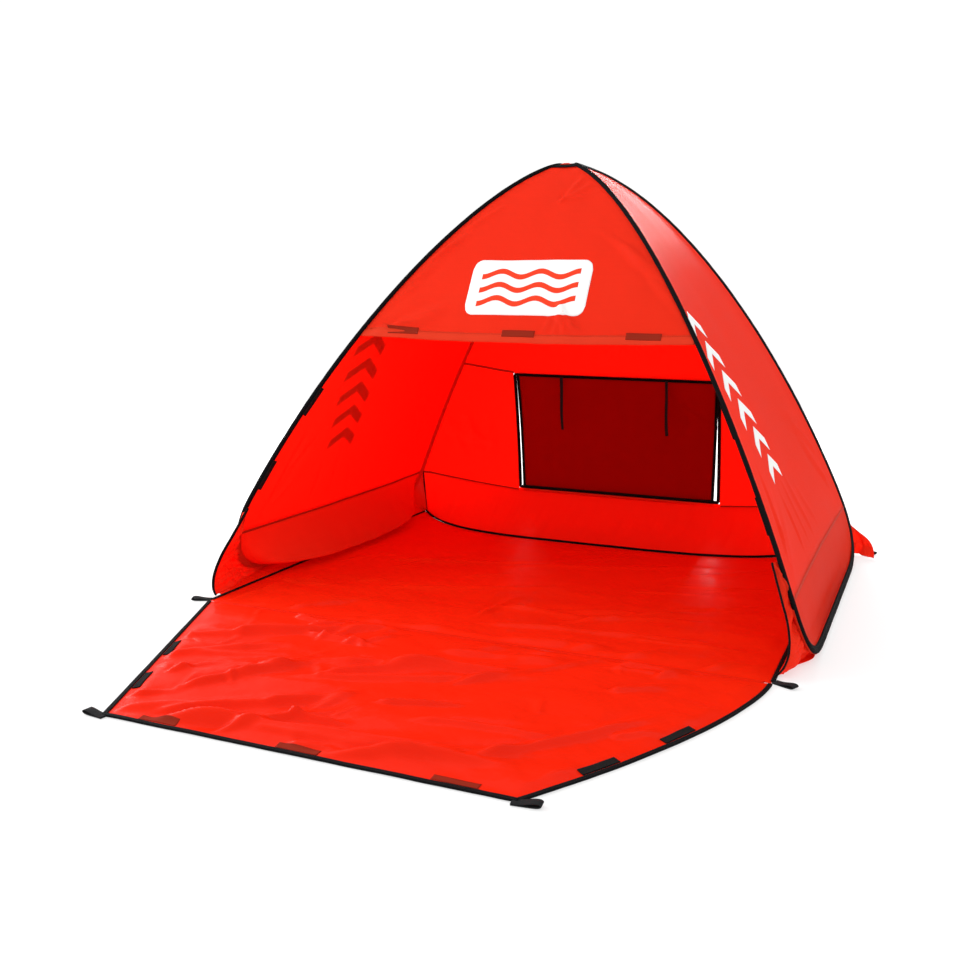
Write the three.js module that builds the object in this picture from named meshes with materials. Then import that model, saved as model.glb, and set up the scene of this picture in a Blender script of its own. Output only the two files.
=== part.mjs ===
// Pop-up shade shelter: two leaf-shaped side panels on closed spring-steel hoops, with a visor,
// a back wall with a window, a floor and a door sheet that lies on the ground in front.
// Millimetres, +Z up, +X to the right seen from the front, which faces -Y.
import * as THREE from 'three';

// ---- Driving dimensions ----
const RIDGE_Z = 1292; // hoop centre line at the ridge
const HALF_WIDTH = 885; // hoop centre line at the ground, from the middle plane
const RIDGE_X = 8; // the same at the ridge, before the hoop's corner is rounded off
const RIDGE_Y = 167; // ridge, measured like every Y below from the middle of the floor's sides
const FRONT_REACH = 679; // from the ridge forward to the front foot
const REAR_REACH = 646; // from the ridge back to the rear foot
const HOOP_GROUND_Z = 13; // hoop centre line along its lowest edge
const FRONT_FOOT_Y = [-200, -300]; // left, right: the left hoop turns in the wider bend // where the front corner of a hoop meets its flat lower edge
const FRONT_FOOT_Z = [250, 160]; // and where it meets the front branch
const REAR_FOOT_Y = 500;
const REAR_FOOT_Z = 200;
const SEAM_Z = 165; // seam between the upper and lower side panels
const SEAM_LOW_Z = 112;
const SEAM_RISE = 55;
const SEAM_REACH = 790;

const FABRIC = 2; // thickness of each sheet
const WIRE_RADIUS = 2;
const BAND = 5; // thickness of the binding tape, folded over an edge
const BAND_WIDTH = 10;
const GAP = 0.5; // between two pieces that are sewn together
const RIDGE_STRIP = 6; // half width of the fabric between the two hoops at the ridge
const SLEEVE_CLEAR = 17; // from a hoop's centre line to the edge of a panel beside it

const FLOOR_HALF = 803;
const FLOOR_FRONT_Y = -617;
const FLOOR_REAR_Y = 510; // middle of the rear edge, which bows forward
const FLOOR_REAR_BOW = 265; // and how much further back its corners lie
const HINGE_Y = -620; // door seam
const HINGE_Z = 2;
const DOOR_LENGTH = 785;
const DOOR_HALF_BACK = 800;
const DOOR_HALF_FRONT = 475;
const DOOR_BOW_LEFT = 1; // the left edge runs straight, the right one bows out
const DOOR_BOW_RIGHT = 1.55;
const DOOR_CORNER_Y = HINGE_Y - DOOR_LENGTH - 23; // peg loops, in front of the binding
const DOOR_LIFT = 1.3; // the door sheet lies on its own patches

const WINDOW_HALF = 395;
const WINDOW_BOTTOM = 135;
const WINDOW_TOP = 592;
const WINDOW_BAND = 11;
const FLAP_HALF = 372;
const FLAP_OUT = 6; // the flap hangs this far behind the wall
const TIE_X = 200;
const TIE_LENGTH = 200;
const TIE_WIDTH = 12;
const TIE_THICK = 1.6;

const VISOR_HEM_Z = 768;
const PATCH_LENGTH = 98;
const PATCH_WIDTH = 18;
const PATCH_THICK = 1;
const TAB_LENGTH = 100;
const LOOP_LENGTH = 58;
const LOOP_WIDTH = 22;
const LOOP_THICK = 2;

const HOOP_STEPS = 72;

const sides = [['left', -1], ['right', 1]];

// ---- Materials ----
const fabric = (color) => new THREE.MeshStandardMaterial({ color, roughness: 0.55, metalness: 0, side: 2 });
const materials = {
  panel: fabric(0xe8301c),
  wall: fabric(0xe2220f),
  floor: fabric(0xd81405),
  door: fabric(0xd81405),
  flap: fabric(0x8a0d08),
  binding: new THREE.MeshStandardMaterial({ color: 0x151414, roughness: 0.85, metalness: 0 }),
  webbing: new THREE.MeshStandardMaterial({ color: 0x121212, roughness: 0.9, metalness: 0 }),
  patch: new THREE.MeshStandardMaterial({ color: 0x2b2625, roughness: 0.95, metalness: 0 }),
  steel: new THREE.MeshStandardMaterial({ color: 0x8d9094, roughness: 0.35, metalness: 1 }),
};

// ---- The tent's ruling curves: each gives one coordinate at a height ----
const fall = (z, bow, round) => Math.max(0, 1 - (z / RIDGE_Z) ** bow) ** (1 / round);
const sideX = (z) => RIDGE_X + (HALF_WIDTH - RIDGE_X) * fall(z, 1.14, 1.48);
const frontY = (z) => RIDGE_Y - FRONT_REACH * fall(z, 1.345, 1.32);
const rearY = (z) => RIDGE_Y + REAR_REACH * fall(z, 1.45, 2.66);
const floorRearY = (x) => FLOOR_REAR_Y + FLOOR_REAR_BOW * (Math.abs(x) / 790) ** 4;
const floorRearSlope = (x) => (4 * FLOOR_REAR_BOW * Math.abs(x / 790) ** 3) / 790;
const doorHalf = (d, s) => {
  const share = Math.max(0, d / DOOR_LENGTH) ** (s < 0 ? DOOR_BOW_LEFT : DOOR_BOW_RIGHT);
  return DOOR_HALF_BACK - (DOOR_HALF_BACK - DOOR_HALF_FRONT) * share;
};
// the seam between the two back panels: level under the window, rising to the hoops
const wallSeamZ = (x) => {
  const share = Math.min(1, Math.max(WINDOW_HALF, Math.abs(x)) / SEAM_REACH);
  return SEAM_LOW_Z + SEAM_RISE * share ** 2;
};

// heights from low to high, closer together towards the ridge
function heights(low, high, count) {
  const start = Math.sqrt(1 - low / RIDGE_Z);
  const end = Math.sqrt(1 - high / RIDGE_Z);
  const at = (i) => RIDGE_Z * (1 - (start + ((end - start) * i) / count) ** 2);
  return Array.from({ length: count + 1 }, (_, i) => at(i));
}

function range(low, high, count) {
  return Array.from({ length: count + 1 }, (_, i) => low + ((high - low) * i) / count);
}

// ---- Solids from points ----
function solid(points, faces) {
  let volume = 0;
  for (const [a, b, c] of faces) {
    volume += points[a].dot(new THREE.Vector3().crossVectors(points[b], points[c]));
  }
  const outward = volume > 0 ? faces : faces.map(([a, b, c]) => [a, c, b]);
  const geometry = new THREE.BufferGeometry();
  const numbers = points.flatMap((p) => p.toArray());
  geometry.setAttribute('position', new THREE.Float32BufferAttribute(numbers, 3));
  geometry.setIndex(outward.flat());
  geometry.computeVertexNormals();
  return geometry;
}

function gridNormal(grid, i, j) {
  const rows = grid.length - 1;
  const columns = grid[0].length - 1;
  const along = grid[Math.min(i + 1, rows)][j].clone().sub(grid[Math.max(i - 1, 0)][j]);
  const across = grid[i][Math.min(j + 1, columns)].clone().sub(grid[i][Math.max(j - 1, 0)]);
  return along.cross(across).normalize();
}

// a sheet of even thickness on a grid of points, without the cells that keep() leaves out
function sheet(grid, thickness = FABRIC, keep = () => true) {
  const rows = grid.length - 1;
  const columns = grid[0].length - 1;
  const points = [];
  const index = new Map();
  const vertex = (i, j, face) => {
    const key = `${i},${j},${face}`;
    if (!index.has(key)) {
      index.set(key, points.length);
      points.push(grid[i][j].clone().addScaledVector(gridNormal(grid, i, j), (face * thickness) / 2));
    }
    return index.get(key);
  };
  const kept = (i, j) => i >= 0 && j >= 0 && i < rows && j < columns && keep(i, j);
  const faces = [];
  const quad = (a, b, c, d) => faces.push([a, b, c], [a, c, d]);
  const wall = (i0, j0, i1, j1) => {
    quad(vertex(i0, j0, 1), vertex(i0, j0, -1), vertex(i1, j1, -1), vertex(i1, j1, 1));
  };
  for (let i = 0; i < rows; i++) {
    for (let j = 0; j < columns; j++) {
      if (!kept(i, j)) continue;
      quad(vertex(i, j, 1), vertex(i + 1, j, 1), vertex(i + 1, j + 1, 1), vertex(i, j + 1, 1));
      quad(vertex(i, j, -1), vertex(i, j + 1, -1), vertex(i + 1, j + 1, -1), vertex(i + 1, j, -1));
      if (!kept(i, j - 1)) wall(i, j, i + 1, j);
      if (!kept(i + 1, j)) wall(i + 1, j, i + 1, j + 1);
      if (!kept(i, j + 1)) wall(i + 1, j + 1, i, j + 1);
      if (!kept(i - 1, j)) wall(i, j + 1, i, j);
    }
  }
  return solid(points, faces);
}

// a section of [b, n] points swept along stations {p, b, n}; a closed sweep joins its two ends
function sweep(stations, section, closed = false) {
  const points = [];
  for (const { p, b, n } of stations) {
    for (const [u, v] of section) points.push(p.clone().addScaledVector(b, u).addScaledVector(n, v));
  }
  const size = section.length;
  const count = stations.length;
  const faces = [];
  for (let i = 0; i < (closed ? count : count - 1); i++) {
    const here = i * size;
    const next = ((i + 1) % count) * size;
    for (let k = 0; k < size; k++) {
      const m = (k + 1) % size;
      faces.push([here + k, here + m, next + m], [here + k, next + m, next + k]);
    }
  }
  if (!closed) {
    const outline = section.map(([u, v]) => new THREE.Vector2(u, v));
    const turn = THREE.ShapeUtils.isClockWise(outline) ? -1 : 1;
    for (const [a, b, c] of THREE.ShapeUtils.triangulateShape(outline, [])) {
      const last = (count - 1) * size;
      faces.push(turn > 0 ? [a, c, b] : [a, b, c]);
      faces.push(turn > 0 ? [last + a, last + b, last + c] : [last + a, last + c, last + b]);
    }
  }
  return solid(points, faces);
}

const box = (b0, b1, n0, n1) => [[b0, n0], [b1, n0], [b1, n1], [b0, n1]];

// stations along points, with n held close to a given direction
function stationsAlong(points, normalAt, closed = false) {
  const last = points.length - 1;
  return points.map((p, i) => {
    const before = closed ? points[(i + last) % (last + 1)] : points[Math.max(i - 1, 0)];
    const after = closed ? points[(i + 1) % (last + 1)] : points[Math.min(i + 1, last)];
    const along = after.clone().sub(before).normalize();
    const b = new THREE.Vector3().crossVectors(normalAt(p, i), along).normalize();
    return { p, b, n: new THREE.Vector3().crossVectors(along, b) };
  });
}

// ---- Hoops and side panels ----
function sideNormal(p, s) {
  const step = 1;
  const z = Math.min(p.z, RIDGE_Z - 2 * step);
  const slope = sideX(z - step) - sideX(z + step);
  return new THREE.Vector3(s * 2 * step, 0, slope).normalize();
}

const onSide = (y, z, s) => new THREE.Vector3(s * sideX(z), y, z);

// where one hoop's front branch leaves the ground: y and z of the two ends of its bend, and y of its tip
const frontFoot = (s) => (s < 0 ? [FRONT_FOOT_Y[0], FRONT_FOOT_Z[0]] : [FRONT_FOOT_Y[1], FRONT_FOOT_Z[1]]);
const frontBend = (s) => (s < 0 ? frontY(FRONT_FOOT_Z[0]) - 4 : frontY(0));

// centre line of one hoop: up the front branch, round the ridge, down the rear branch and along the ground
function hoopPoints(s) {
  const turnZ = RIDGE_Z - 8;
  const [footY, footZ] = frontFoot(s);
  const front = heights(footZ, turnZ, 16).map((z) => onSide(frontY(z), z, s));
  const rear = heights(REAR_FOOT_Z, turnZ, 16).map((z) => onSide(rearY(z), z, s)).reverse();
  const ridge = new THREE.QuadraticBezierCurve3(
    front[front.length - 1],
    new THREE.Vector3(s * RIDGE_X * 2, RIDGE_Y - 4, RIDGE_Z + 2),
    rear[0],
  );
  const corner = (y0, z0, yc, y1, z1) => {
    const curve = new THREE.QuadraticBezierCurve(
      new THREE.Vector2(y0, z0),
      new THREE.Vector2(yc, HOOP_GROUND_Z),
      new THREE.Vector2(y1, z1),
    );
    return curve.getPoints(6).map((q) => onSide(q.x, q.y, s));
  };
  const rearCorner = corner(rearY(REAR_FOOT_Z), REAR_FOOT_Z, rearY(0) - 5, REAR_FOOT_Y, HOOP_GROUND_Z);
  const frontCorner = corner(footY, HOOP_GROUND_Z, frontBend(s), frontY(footZ), footZ);
  const ground = range(REAR_FOOT_Y, footY, 4).slice(1, -1).map((y) => onSide(y, HOOP_GROUND_Z, s));
  const guide = [
    ...front.slice(0, -1), ...ridge.getPoints(6), ...rear.slice(1, -1),
    ...rearCorner, ...ground, ...frontCorner.slice(0, -1),
  ];
  const curve = new THREE.CatmullRomCurve3(guide, true, 'centripetal');
  return curve.getSpacedPoints(HOOP_STEPS).slice(0, -1);
}

function hoopStations(s) {
  const stations = stationsAlong(hoopPoints(s), (p) => sideNormal(p, s), true);
  const middle = onSide(150, 400, s);
  const inward = middle.clone().sub(stations[0].p).dot(stations[0].b) > 0 ? 1 : -1;
  return stations.map(({ p, b, n }) => ({ p, b: b.multiplyScalar(inward), n }));
}

// a folded tape, open towards the panel, with the wire inside it
const SLEEVE_SECTION = [
  [7, 1.5], [6, 6], [-6, 6], [-9, 0], [-6, -6], [6, -6], [7, -1.5],
  [3, -1.5], [2, -3], [-5, -3], [-5, 3], [2, 3], [3, 1.5],
];
const WIRE_SECTION = range(0, 5, 5).map((k) => {
  const angle = (k * Math.PI) / 3;
  return [-1.5 + WIRE_RADIUS * Math.cos(angle), WIRE_RADIUS * Math.sin(angle)];
});

// front and rear end of a side panel's row at a height, inside the sleeve
function rowEnds(outline, z) {
  const found = [];
  outline.forEach((a, i) => {
    const c = outline[(i + 1) % outline.length];
    if ((a.z - z) * (c.z - z) < 0) found.push(a.y + ((c.y - a.y) * (z - a.z)) / (c.z - a.z));
  });
  return [Math.min(...found), Math.max(...found)];
}

function sidePanel(s, levels) {
  const outline = hoopStations(s).map(({ p, b }) => p.clone().addScaledVector(b, 9.5));
  return sheet(levels.map((z) => rowEnds(outline, z).map((y) => onSide(y, z, s))));
}

// a hook-and-loop tab on the inner face of a hoop's front edge
function closureTab(s, z) {
  const stations = hoopStations(s);
  const isFront = ({ p }) => p.y < RIDGE_Y - 40 && p.z > FRONT_FOOT_Z[0];
  const nearest = stations.reduce((best, q, i) => {
    const better = isFront(q) && Math.abs(q.p.z - z) < Math.abs(stations[best].p.z - z);
    return better ? i : best;
  }, stations.findIndex(isFront));
  const { p, b, n } = stations[nearest];
  const along = new THREE.Vector3().crossVectors(b, n).normalize();
  const ends = [-TAB_LENGTH / 2, TAB_LENGTH / 2];
  const line = ends.map((t) => ({ p: p.clone().addScaledVector(along, t), b, n }));
  return sweep(line, box(-7, 17, -9, -7));
}

// ---- Flat pieces on the ground ----
const flat = (x, y, z) => new THREE.Vector3(x, y, z);

function floorSheet() {
  const columns = range(-FLOOR_HALF, FLOOR_HALF, 16);
  return sheet([
    columns.map((x) => flat(x, FLOOR_FRONT_Y, FABRIC / 2)),
    columns.map((x) => flat(x, floorRearY(x), FABRIC / 2)),
  ]);
}

const UP = new THREE.Vector3(0, 0, 1);

function groundBinding(points, width = BAND_WIDTH) {
  return sweep(stationsAlong(points, () => UP), box(-width / 2, width / 2, 0, BAND));
}

function floorSideBinding(s) {
  const x = s * (FLOOR_HALF + GAP + BAND_WIDTH / 2);
  return groundBinding([flat(x, FLOOR_FRONT_Y + 8, 0), flat(x, floorRearY(FLOOR_HALF) - 4, 0)]);
}

// points moved sideways: b is to the left of the path's direction
const beside = (points, distance) => (
  stationsAlong(points, () => UP).map(({ p, b }) => p.clone().addScaledVector(b, distance))
);

function floorRearBinding() {
  const edge = range(-FLOOR_HALF, FLOOR_HALF, 16).map((x) => flat(x, floorRearY(x), 0));
  return groundBinding(beside(edge, 1 + BAND_WIDTH / 2));
}

// a flattened webbing loop: a strap with a round end
function pegLoop(x, y, direction) {
  const shape = new THREE.Shape();
  const half = LOOP_WIDTH / 2;
  shape.moveTo(0, -half);
  shape.lineTo(LOOP_LENGTH - half, -half);
  shape.absarc(LOOP_LENGTH - half, 0, half, -Math.PI / 2, Math.PI / 2, false);
  shape.lineTo(0, half);
  shape.closePath();
  const settings = { depth: LOOP_THICK, bevelEnabled: false, curveSegments: 6 };
  const geometry = new THREE.ExtrudeGeometry(shape, settings);
  geometry.rotateZ(direction);
  geometry.translate(x, y, 0);
  return geometry;
}

// ---- Door ----
const doorLevels = range(2, DOOR_LENGTH, 12);

function doorSheet() {
  const z = DOOR_LIFT + FABRIC / 2;
  return sheet(doorLevels.map((d) => [-1, 1].map((s) => flat(s * doorHalf(d, s), HINGE_Y - d, z))));
}

function doorSideBinding(s) {
  const edge = [12, ...doorLevels.slice(1)].map((d) => flat(s * doorHalf(d, s), HINGE_Y - d, 0));
  return groundBinding(beside(edge, s * (1 + BAND_WIDTH / 2)));
}

function doorFrontBinding() {
  const y = HINGE_Y - DOOR_LENGTH - GAP - BAND_WIDTH / 2;
  return groundBinding([flat(-DOOR_HALF_FRONT + 1, y, 0), flat(DOOR_HALF_FRONT - 1, y, 0)]);
}

function doorFrontPatch(x) {
  const geometry = new THREE.BoxGeometry(PATCH_LENGTH, PATCH_WIDTH, PATCH_THICK);
  geometry.translate(x, HINGE_Y - DOOR_LENGTH + 14, PATCH_THICK / 2);
  return geometry;
}

function doorSidePatch(s, d) {
  const slope = (doorHalf(d + 20, s) - doorHalf(d - 20, s)) / 40;
  const geometry = new THREE.BoxGeometry(PATCH_WIDTH, PATCH_LENGTH, 2);
  geometry.rotateZ(Math.atan(s * slope));
  const top = DOOR_LIFT + FABRIC + 0.4;
  geometry.translate(s * (doorHalf(d, s) - PATCH_WIDTH / 2 - 4), HINGE_Y - d, top + 1);
  return geometry;
}

// ---- Visor ----
function visorPanel() {
  const rows = heights(VISOR_HEM_Z, RIDGE_Z - 10, 14).map((z) => [frontY(z), z, sideX(z) - SLEEVE_CLEAR]);
  rows.push([RIDGE_Y - 12, RIDGE_Z, RIDGE_STRIP]);
  return sheet(rows.map(([y, z, half]) => [-half, half].map((x) => new THREE.Vector3(x, y, z))));
}

function visorPatch(x) {
  const z = VISOR_HEM_Z + 16;
  const slope = (frontY(z + 10) - frontY(z - 10)) / 20;
  const tilt = Math.atan(slope);
  const geometry = new THREE.BoxGeometry(PATCH_LENGTH, 2, PATCH_WIDTH);
  geometry.translate(0, 3, 0);
  geometry.rotateX(-tilt);
  geometry.translate(x, frontY(z), z);
  return geometry;
}

// ---- Back wall, window and flap ----
const rearNormal = (z) => new THREE.Vector3(0, 2, rearY(z - 1) - rearY(z + 1)).normalize();

function onRear(x, z, out = 0) {
  return new THREE.Vector3(x, rearY(z), z).addScaledVector(rearNormal(z), out);
}

const wallHalf = (z) => sideX(z) - SLEEVE_CLEAR;
const WINDOW_ROWS = 6;

function backUpper() {
  const seamEdge = wallSeamZ(wallHalf(SEAM_Z)) + 2;
  const atWindow = [wallSeamZ(WINDOW_HALF) + 2, ...heights(WINDOW_BOTTOM, WINDOW_TOP, WINDOW_ROWS)];
  const atEdge = heights(seamEdge, WINDOW_TOP, WINDOW_ROWS + 1);
  const above = heights(WINDOW_TOP, RIDGE_Z - 3, 12).slice(1);
  const rows = [...atWindow.map((z, i) => [z, atEdge[i]]), ...above.map((z) => [z, z])];
  const grid = rows.map(([inner, outer]) => {
    const half = wallHalf(outer);
    const window = Math.min(WINDOW_HALF, half * 0.7);
    return [onRear(-half, outer), onRear(-window, inner), onRear(window, inner), onRear(half, outer)];
  });
  const ridge = [-1, -0.7, 0.7, 1].map((u) => new THREE.Vector3(u * RIDGE_STRIP, RIDGE_Y - 8, RIDGE_Z));
  grid.push(ridge);
  const isWindow = (i, j) => j === 1 && i >= 1 && i <= WINDOW_ROWS;
  return sheet(grid, FABRIC, (i, j) => !isWindow(i, j));
}

// ends of a vertical line down the lower back panel: u runs from -1 at the left edge to 1 at the right
function lowerWallLine(u) {
  const top = u * wallHalf(SEAM_Z);
  const foot = u * (FLOOR_HALF - 6);
  const clear = 15 * Math.hypot(1, floorRearSlope(foot)); // past the floor's rear binding
  return [onRear(top, wallSeamZ(top)), new THREE.Vector3(foot, floorRearY(foot) + clear, 3)];
}

function backLower() {
  const lines = range(-1, 1, 12).map(lowerWallLine);
  return sheet(range(0, 1, 3).map((v) => lines.map(([top, foot]) => top.clone().lerp(foot, v))));
}

function windowBinding() {
  const outer = WINDOW_HALF - GAP;
  const inner = WINDOW_HALF - WINDOW_BAND;
  const columns = [-outer, -inner, inner, outer];
  const opening = heights(WINDOW_BOTTOM + WINDOW_BAND, WINDOW_TOP - WINDOW_BAND, WINDOW_ROWS);
  const levels = [WINDOW_BOTTOM + GAP, ...opening, WINDOW_TOP - GAP];
  const grid = levels.map((z) => columns.map((x) => onRear(x, z)));
  return sheet(grid, BAND, (i, j) => j !== 1 || i === 0 || i === levels.length - 2);
}

const FLAP_TOP = WINDOW_TOP - 2;
const FLAP_BOTTOM = WINDOW_BOTTOM + 13;

function windowFlap() {
  const rows = heights(FLAP_BOTTOM, FLAP_TOP, WINDOW_ROWS);
  return sheet(rows.map((z) => [-FLAP_HALF, FLAP_HALF].map((x) => onRear(x, z, FLAP_OUT))));
}

function flapBinding() {
  const inner = FLAP_HALF + GAP;
  const outer = inner + 8;
  const levels = [FLAP_BOTTOM - GAP - 8, ...heights(FLAP_BOTTOM - GAP, FLAP_TOP, WINDOW_ROWS)];
  const grid = levels.map((z) => [-outer, -inner, inner, outer].map((x) => onRear(x, z, FLAP_OUT)));
  return sheet(grid, 3, (i, j) => j !== 1 || i === 0);
}

// a flat tie hanging free from the window's upper edge, inside
function windowTie(s) {
  const z = WINDOW_TOP - 6;
  const y = rearY(z) - 5;
  const drop = range(0, TIE_LENGTH, 8).map((d) => new THREE.Vector3(s * TIE_X, y, z - d));
  const half = TIE_WIDTH / 2;
  return sweep(stationsAlong(drop, () => new THREE.Vector3(0, 1, 0)), box(-half, half, -TIE_THICK, 0));
}

// ---- Gussets and skirts at the feet ----
const mirror = (s) => (p) => new THREE.Vector3(s * p.x, p.y, p.z);

const GUSSET_TOP = 255;
// bend and foot of the front gusset's sewn edge, as y and z, just inside the hoop
const GUSSET_SEWN_LEFT = [[-462, 22], [-240, 22]];
const GUSSET_SEWN_RIGHT = [[frontY(60) + 10, 60], [-300, 22]];

function frontGussetEdge() {
  return new THREE.CubicBezierCurve3(
    new THREE.Vector3(772, -470, GUSSET_TOP),
    new THREE.Vector3(800, -505, 170),
    new THREE.Vector3(872, -560, 60),
    new THREE.Vector3(812, -588, 11),
  );
}

function frontGusset(s) {
  const free = frontGussetEdge();
  const [bend, foot] = s < 0 ? GUSSET_SEWN_LEFT : GUSSET_SEWN_RIGHT;
  const sewn = new THREE.QuadraticBezierCurve(
    new THREE.Vector2(frontY(GUSSET_TOP) + 6, GUSSET_TOP),
    new THREE.Vector2(...bend),
    new THREE.Vector2(...foot),
  );
  const grid = range(0, 1, 8).map((v) => {
    const a = free.getPoint(v).add(new THREE.Vector3(0, 4.5, 0));
    const q = sewn.getPoint(v);
    const c = new THREE.Vector3(sideX(q.y) - 16, q.x, q.y);
    return [0, 0.5, 1].map((w) => mirror(s)(a.clone().lerp(c, w)));
  });
  return sheet(grid);
}

function frontGussetBinding(s) {
  const points = frontGussetEdge().getPoints(10).map(mirror(s));
  return sweep(stationsAlong(points, () => new THREE.Vector3(1, 0, 0)), box(-3.5, 3.5, -2.5, 2.5));
}

function rearGussetBinding(s) {
  const [top, foot] = lowerWallLine(s);
  const away = new THREE.Vector3(s * 4.5, 0, 2);
  const points = [0.12, 0.4, 0.7, 1].map((v) => top.clone().lerp(foot, v).add(away));
  return sweep(stationsAlong(points, () => new THREE.Vector3(0, 1, 0)), box(-3, 3, -2.5, 2.5));
}

function rearGusset(s) {
  const inner = new THREE.LineCurve3(new THREE.Vector3(812, 815, 150), new THREE.Vector3(808, 812, 4));
  const outer = new THREE.QuadraticBezierCurve3(
    new THREE.Vector3(850, 819, 150),
    new THREE.Vector3(945, 830, 90),
    new THREE.Vector3(945, 762, 4),
  );
  const grid = range(0, 1, 6).map((v) => {
    const a = inner.getPoint(v);
    const c = outer.getPoint(v);
    return range(0, 1, 4).map((w) => {
      const p = a.clone().lerp(c, w);
      p.y += 12 * v * Math.sin(Math.PI * w);
      return mirror(s)(p);
    });
  });
  return sheet(grid);
}

function sideSkirt(s) {
  const rows = [-540, -300, 0, 300, 590];
  return sheet(rows.map((y) => [flat(s * 816, y, 2), flat(s * (y < -500 ? 826 : 858), y, 8)]));
}

// ---- Assembly ----
const group = new THREE.Group();

function add(name, geometry, material) {
  const mesh = new THREE.Mesh(geometry, material);
  mesh.name = name;
  group.add(mesh);
}

add('floor_sheet', floorSheet(), materials.floor);
add('floor_binding_rear', floorRearBinding(), materials.binding);
add('back_panel_upper', backUpper(), materials.wall);
add('back_panel_lower', backLower(), materials.wall);
add('window_binding', windowBinding(), materials.binding);
add('window_flap', windowFlap(), materials.flap);
add('window_flap_binding', flapBinding(), materials.binding);
add('visor_panel', visorPanel(), materials.panel);
add('door_sheet', doorSheet(), materials.door);
add('door_binding_front', doorFrontBinding(), materials.binding);

for (const [name, x] of [['left', -366], ['centre', 0], ['right', 366]]) {
  add(`visor_patch_${name}`, visorPatch(x), materials.patch);
  add(`door_patch_front_${name}`, doorFrontPatch(x * 0.95), materials.patch);
}

for (const [side, s] of sides) {
  const levels = heights(SEAM_Z + 1, RIDGE_Z - 14, 18);
  const outward = s > 0 ? 0 : Math.PI;
  add(`hoop_wire_${side}`, sweep(hoopStations(s), WIRE_SECTION, true), materials.steel);
  add(`hoop_sleeve_${side}`, sweep(hoopStations(s), SLEEVE_SECTION, true), materials.binding);
  add(`side_panel_upper_${side}`, sidePanel(s, levels), materials.panel);
  add(`side_panel_lower_${side}`, sidePanel(s, [25, 45, 80, 120, SEAM_Z - 1]), materials.panel);
  add(`closure_tab_upper_${side}`, closureTab(s, 580), materials.patch);
  add(`closure_tab_lower_${side}`, closureTab(s, 358), materials.patch);
  add(`floor_binding_${side}`, floorSideBinding(s), materials.binding);
  add(`side_skirt_${side}`, sideSkirt(s), materials.floor);
  add(`front_gusset_${side}`, frontGusset(s), materials.panel);
  add(`front_gusset_binding_${side}`, frontGussetBinding(s), materials.binding);
  add(`rear_gusset_${side}`, rearGusset(s), materials.panel);
  add(`rear_gusset_binding_${side}`, rearGussetBinding(s), materials.binding);
  add(`window_tie_${side}`, windowTie(s), materials.webbing);
  add(`door_binding_${side}`, doorSideBinding(s), materials.binding);
  add(`door_patch_side_${side}_rear`, doorSidePatch(s, 390), materials.patch);
  add(`door_patch_side_${side}_front`, doorSidePatch(s, 600), materials.patch);
  add(`peg_loop_floor_${side}`, pegLoop(s * 816, -606, outward), materials.webbing);
  add(`peg_loop_rear_${side}`, pegLoop(s * 912, 800, Math.PI / 2 - s * 0.6), materials.webbing);
  const doorCorner = s * (DOOR_HALF_FRONT - 2);
  add(`peg_loop_door_${side}`, pegLoop(doorCorner, DOOR_CORNER_Y, outward), materials.webbing);
}

// the origin is on the ground, in the middle of the footprint
const middle = new THREE.Box3().setFromObject(group).getCenter(new THREE.Vector3());
group.position.y = -middle.y;

export default group;
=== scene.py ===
import math

import bpy
import numpy as np
from mathutils import Matrix, Vector


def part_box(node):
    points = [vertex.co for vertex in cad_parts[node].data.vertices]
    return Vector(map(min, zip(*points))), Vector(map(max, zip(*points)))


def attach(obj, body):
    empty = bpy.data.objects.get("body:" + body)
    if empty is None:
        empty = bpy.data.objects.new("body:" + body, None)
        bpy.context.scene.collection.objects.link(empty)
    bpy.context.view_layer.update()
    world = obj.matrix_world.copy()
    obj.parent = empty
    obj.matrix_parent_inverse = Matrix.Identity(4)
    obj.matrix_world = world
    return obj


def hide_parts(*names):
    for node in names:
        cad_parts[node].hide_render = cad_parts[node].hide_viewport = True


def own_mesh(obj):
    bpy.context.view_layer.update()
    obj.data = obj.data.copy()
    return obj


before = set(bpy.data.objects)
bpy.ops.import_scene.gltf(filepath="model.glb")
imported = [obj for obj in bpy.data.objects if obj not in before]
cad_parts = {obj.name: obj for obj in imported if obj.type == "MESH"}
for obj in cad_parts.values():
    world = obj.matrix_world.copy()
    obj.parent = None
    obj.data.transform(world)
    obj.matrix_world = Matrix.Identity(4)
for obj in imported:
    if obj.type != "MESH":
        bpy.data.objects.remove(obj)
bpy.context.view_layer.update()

# ---- Driving dimensions, the same as in the part's own source, but in metres ----
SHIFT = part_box("floor_sheet")[0][1] + 0.617  # from the middle of the floor's sides to the row frame
RIDGE_Z = 1.292
RIDGE_X = 0.008
HALF_WIDTH = 0.885
RIDGE_Y = SHIFT + 0.167
FRONT_REACH = 0.679
REAR_REACH = 0.646
HOOP_GROUND_Z = 0.013
SEAM_Z = 0.165
VISOR_HEM_Z = 0.768
FLOOR_HALF = 0.803
FLOOR_FRONT_Y = SHIFT - 0.617
FLOOR_REAR_Y = SHIFT + 0.510
FLOOR_REAR_BOW = 0.265
HINGE_Y = SHIFT - 0.620
DOOR_LENGTH = 0.785
DOOR_HALF_BACK = 0.800
DOOR_HALF_FRONT = 0.475
WINDOW_HALF = 0.395
WINDOW_BOTTOM = 0.135
WINDOW_TOP = 0.592
FLAP_OUT = 0.006
TIE_X = 0.200
TIE_LENGTH = 0.200
TIE_WIDTH = 0.012

CLOTH = 0.0008  # thickness of a sheet
EDGE_IN = 0.004  # how far a panel's edge stays from the hoop's centre line, inside the sleeve
SIDES = (("left", -1), ("right", 1))
STEP = 0.001  # for slopes
UP = np.array([0.0, 0.0, 1.0])


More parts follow.
